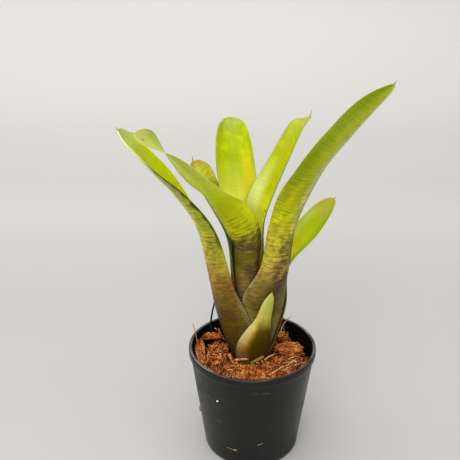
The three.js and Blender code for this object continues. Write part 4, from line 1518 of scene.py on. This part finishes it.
# The paper in metres: near end, where it bends up, radius of the bend, top and half width
PAPER_FRONT, PAPER_BACK, PAPER_BEND, PAPER_TOP, PAPER_SIDE = -1.6, 0.75, 0.24, 2.2, 2.2

# Painted light and shade on the paper from the pot towards the back, as shares of the floor colour
PAPER_PAINTED_LIGHT = (0.92, 1.10, 1.10, 1.22, 1.35)
PAPER_PLACES = (0.0, 0.175, 0.34, 0.60, 1.0)

# Lights: name, place, what they point at, size, and the setting that holds their power
SOFTBOXES = (
    ("overhead_softbox", (-0.18, -0.1, 1.4), (0, 0, 0.1), (1.7, 1.6), "overhead_power"),
    ("front_softbox", (-0.25, -1.5, 0.9), (0, 0, 0.12), (1.4, 1.0), "key_power"),
)

# Camera of the photograph: focal length in pixels of a 460 pixel frame
PHOTO_SIDE = 460
FOCAL_PIXELS = 800
SENSOR_MM = 36.0
CAMERA_PLACE = (-15.8 * MM, -483.6 * MM, 389.4 * MM)
CAMERA_PITCH_DOWN = math.radians(24.38)


def build_paper(colour):
    """Seamless sweep of pale paper behind and under the pot, with painted light and shade."""
    bm = bmesh.new()
    bend = arc((0.0, PAPER_BEND), PAPER_BEND, -90, 0, 16)
    profile = [(PAPER_FRONT, 0.0), *((PAPER_BACK + y, z) for y, z in bend)]
    profile.append((PAPER_BACK + PAPER_BEND, PAPER_TOP))
    _, edges = profile_edges(bm, [(-PAPER_SIDE, y, z) for y, z in profile])
    made = bmesh.ops.extrude_edge_only(bm, edges=edges)["geom"]
    far = only(bmesh.types.BMVert, made)
    bmesh.ops.translate(bm, vec=(2 * PAPER_SIDE, 0, 0), verts=far)
    bmesh.ops.recalc_face_normals(bm, faces=bm.faces)
    skin = Skin("studio paper", 0.9)
    place = skin.split(skin.place())
    away = skin.between(place["Y"], 0.15, 0.95, 0.0, 0.7)
    level = skin.math("ADD", away, skin.between(place["Z"], 0.0, 0.17, 0.0, 0.3))
    # painted light and shade: darkest round the pot, lighter towards the back and up the wall
    painted_tones = [(*[channel * share for channel in colour], 1.0) for share in PAPER_PAINTED_LIGHT]
    finished = skin.finish(skin.ramp(level, painted_tones, PAPER_PLACES))
    paper = new_object("studio_sweep", bm, [finished])


def build_studio(sizes):
    """Paper sweep, soft lights and the camera of the photograph."""
    build_paper(sizes.floor_colour)
    for name, at, aim, size, power in SOFTBOXES:
        lamp = bpy.data.lights.new(name, "AREA")
        lamp.shape = "RECTANGLE"
        lamp.size, lamp.size_y = size
        lamp.energy = getattr(sizes, power)
        holder = add_object(name, lamp)
        holder.location = at
        holder.rotation_euler = (Vector(aim) - Vector(at)).to_track_quat("-Z", "Y").to_euler()

    world = bpy.data.worlds.new("soft room light")
    world.use_nodes = True
    background = next(node for node in world.node_tree.nodes if node.type == "BACKGROUND")
    background.inputs["Color"].default_value = (1.0, 1.0, 1.0, 1.0)
    background.inputs["Strength"].default_value = sizes.fill_strength
    bpy.context.scene.world = world

    lens = bpy.data.cameras.new("photo_camera")
    lens.sensor_width = SENSOR_MM
    lens.lens = FOCAL_PIXELS / PHOTO_SIDE * SENSOR_MM
    lens.clip_start = 0.01
    camera = add_object("photo_camera", lens)
    camera.location = CAMERA_PLACE
    camera.rotation_euler = (math.pi / 2 - CAMERA_PITCH_DOWN, 0, 0)
    bpy.context.scene.camera = camera
    bpy.context.scene.view_settings.view_transform = "Standard"


# Settings that a user would change


class BromeliadLeafSettings(bpy.types.PropertyGroup):
    columns: IntProperty(
        name="Columns", description="Quads across a blade before subdivision", default=14, min=4
    )
    row_length: FloatProperty(
        name="Row length",
        description="Mean distance between the cross rows of a blade",
        default=2.4 * MM,
        min=1 * MM,
        unit="LENGTH",
    )
    crowding: FloatProperty(
        name="Crowding",
        description="How much closer the cross rows stand towards the tip",
        default=1.4,
        min=1.0,
    )
    thickness: FloatProperty(
        name="Blade thickness",
        description="Thickness along the middle of a blade",
        default=0.9 * MM,
        min=0.3 * MM,
        unit="LENGTH",
    )
    margin_thickness: FloatProperty(
        name="Margin thickness",
        description="Thickness along the two edges of a blade",
        default=0.55 * MM,
        min=0.2 * MM,
        unit="LENGTH",
    )


class BromeliadPotSettings(bpy.types.PropertyGroup):
    steps: IntProperty(name="Steps", description="Steps round the pot", default=144, min=32)
    wall: FloatProperty(
        name="Wall",
        description="Thickness of the pot wall",
        default=1.2 * MM,
        min=0.6 * MM,
        unit="LENGTH",
    )
    floor: FloatProperty(
        name="Floor",
        description="Thickness of the pot floor",
        default=1.5 * MM,
        min=0.6 * MM,
        unit="LENGTH",
    )
    drain_holes: IntProperty(
        name="Drain holes", description="Holes in a ring through the pot floor", default=6, min=3
    )
    colour: FloatVectorProperty(
        name="Plastic colour",
        description="Colour of the moulded plastic",
        default=(0.002, 0.002, 0.002),
        min=0.0,
        max=1.0,
        subtype="COLOR",
    )


class BromeliadMixSettings(bpy.types.PropertyGroup):
    chips: IntProperty(
        name="Small chips", description="Small husk chips strewn over the bed", default=150, min=0
    )
    crumbs: IntProperty(
        name="Crumbs", description="Crumbs of husk between the chips", default=420, min=0
    )
    strands: IntProperty(
        name="Loose strands",
        description="Thin strands of husk that lie over the chips",
        default=330,
        min=0,
    )
    seed: IntProperty(
        name="Seed", description="Starting number for the way the chips are strewn", default=7
    )


class BromeliadStudioSettings(bpy.types.PropertyGroup):
    floor_colour: FloatVectorProperty(
        name="Paper colour",
        description="Colour of the seamless floor and wall",
        default=(0.49, 0.484, 0.466),
        min=0.0,
        max=1.0,
        subtype="COLOR",
    )
    overhead_power: FloatProperty(
        name="Overhead power",
        description="Power of the softbox above the plant",
        default=20.0,
        min=0.0,
        unit="POWER",
    )
    key_power: FloatProperty(
        name="Key power",
        description="Power of the softbox at the front left",
        default=18.0,
        min=0.0,
        unit="POWER",
    )
    fill_strength: FloatProperty(
        name="Fill strength",
        description="Strength of the even light of the room",
        default=0.45,
        min=0.0,
    )


class BromeliadSettings(bpy.types.PropertyGroup):
    leaves: PointerProperty(
        type=BromeliadLeafSettings, name="Leaves", description="Sizes of the leaves"
    )
    pot: PointerProperty(
        type=BromeliadPotSettings, name="Pot", description="Sizes and colour of the pot"
    )
    mix: PointerProperty(
        type=BromeliadMixSettings, name="Mix", description="How full of pieces the mix is"
    )
    studio: PointerProperty(
        type=BromeliadStudioSettings, name="Studio", description="Floor and lights"
    )


# Operators


class BROMELIAD_OT_studio(bpy.types.Operator):
    """Set up the floor, the lights and the camera"""

    bl_idname = "bromeliad.studio"
    bl_label = "Studio"

    def execute(self, context):
        build_studio(context.scene.bromeliad.studio)
        return {"FINISHED"}


class BROMELIAD_OT_pot(bpy.types.Operator):
    """Turn the nursery pot and cut its drain holes"""

    bl_idname = "bromeliad.pot"
    bl_label = "Pot"

    def execute(self, context):
        build_pot(context.scene.bromeliad.pot)
        return {"FINISHED"}


class BROMELIAD_OT_mix(bpy.types.Operator):
    """Fill the pot with husk mix"""

    bl_idname = "bromeliad.mix"
    bl_label = "Growing mix"

    def execute(self, context):
        build_mix(context.scene.bromeliad.mix)
        return {"FINISHED"}


class BROMELIAD_OT_chips(bpy.types.Operator):
    """Lay the large husk chips on the mix"""

    bl_idname = "bromeliad.chips"
    bl_label = "Large chips"

    def execute(self, context):
        for name, chip in LARGE_CHIPS.items():
            build_large_chip(name, **chip)
        return {"FINISHED"}


class BROMELIAD_OT_strands(bpy.types.Operator):
    """Drape loose strands over the chips, and stick crumbs to the pot"""

    bl_idname = "bromeliad.strands"
    bl_label = "Loose strands and crumbs"

    def execute(self, context):
        names = ["growing_mix_bed"] + [f"{name}_torn" for name in LARGE_CHIPS]
        build_strands(context.scene.bromeliad.mix, [bpy.data.objects[name] for name in names])
        build_wall_crumbs()
        return {"FINISHED"}


class BROMELIAD_OT_stem(bpy.types.Operator):
    """Turn the woody stem"""

    bl_idname = "bromeliad.stem"
    bl_label = "Stem"

    def execute(self, context):
        build_stem()
        return {"FINISHED"}


class BROMELIAD_OT_leaves(bpy.types.Operator):
    """Grow the eight leaves"""

    bl_idname = "bromeliad.leaves"
    bl_label = "Leaves"

    def execute(self, context):
        for name, leaf in LEAVES.items():
            build_leaf(name, leaf, context.scene.bromeliad.leaves)
        return {"FINISHED"}


class BROMELIAD_OT_stalk(bpy.types.Operator):
    """Stand the dry stalk in the mix"""

    bl_idname = "bromeliad.stalk"
    bl_label = "Dry stalk"

    def execute(self, context):
        build_stalk()
        return {"FINISHED"}


OPERATORS = (
    BROMELIAD_OT_studio,
    BROMELIAD_OT_pot,
    BROMELIAD_OT_mix,
    BROMELIAD_OT_chips,
    BROMELIAD_OT_strands,
    BROMELIAD_OT_stem,
    BROMELIAD_OT_leaves,
    BROMELIAD_OT_stalk,
)


class BROMELIAD_PT_panel(bpy.types.Panel):
    """Settings and builders of the potted bromeliad"""

    bl_idname = "BROMELIAD_PT_panel"
    bl_label = "Potted Tank Bromeliad"
    bl_space_type = "VIEW_3D"
    bl_region_type = "UI"
    bl_category = "Bromeliad"

    def draw(self, context):
        for operator in OPERATORS:
            self.layout.operator(operator.bl_idname)
        settings = context.scene.bromeliad
        for group in (settings.leaves, settings.pot, settings.mix, settings.studio):
            box = self.layout.box()
            for name in group.__annotations__:
                box.prop(group, name)


CLASSES = (
    BromeliadLeafSettings,
    BromeliadPotSettings,
    BromeliadMixSettings,
    BromeliadStudioSettings,
    BromeliadSettings,
    *OPERATORS,
    BROMELIAD_PT_panel,
)


def register():
    for kind in CLASSES:
        bpy.utils.register_class(kind)
    bpy.types.Scene.bromeliad = PointerProperty(type=BromeliadSettings)


def unregister():
    del bpy.types.Scene.bromeliad
    for kind in reversed(CLASSES):
        bpy.utils.unregister_class(kind)


def main():
    register()
    bpy.ops.bromeliad.studio()
    bpy.ops.bromeliad.pot()
    bpy.ops.bromeliad.mix()
    bpy.ops.bromeliad.chips()
    bpy.ops.bromeliad.strands()
    bpy.ops.bromeliad.stem()
    bpy.ops.bromeliad.leaves()
    bpy.ops.bromeliad.stalk()


if __name__ == "__main__":
    main()
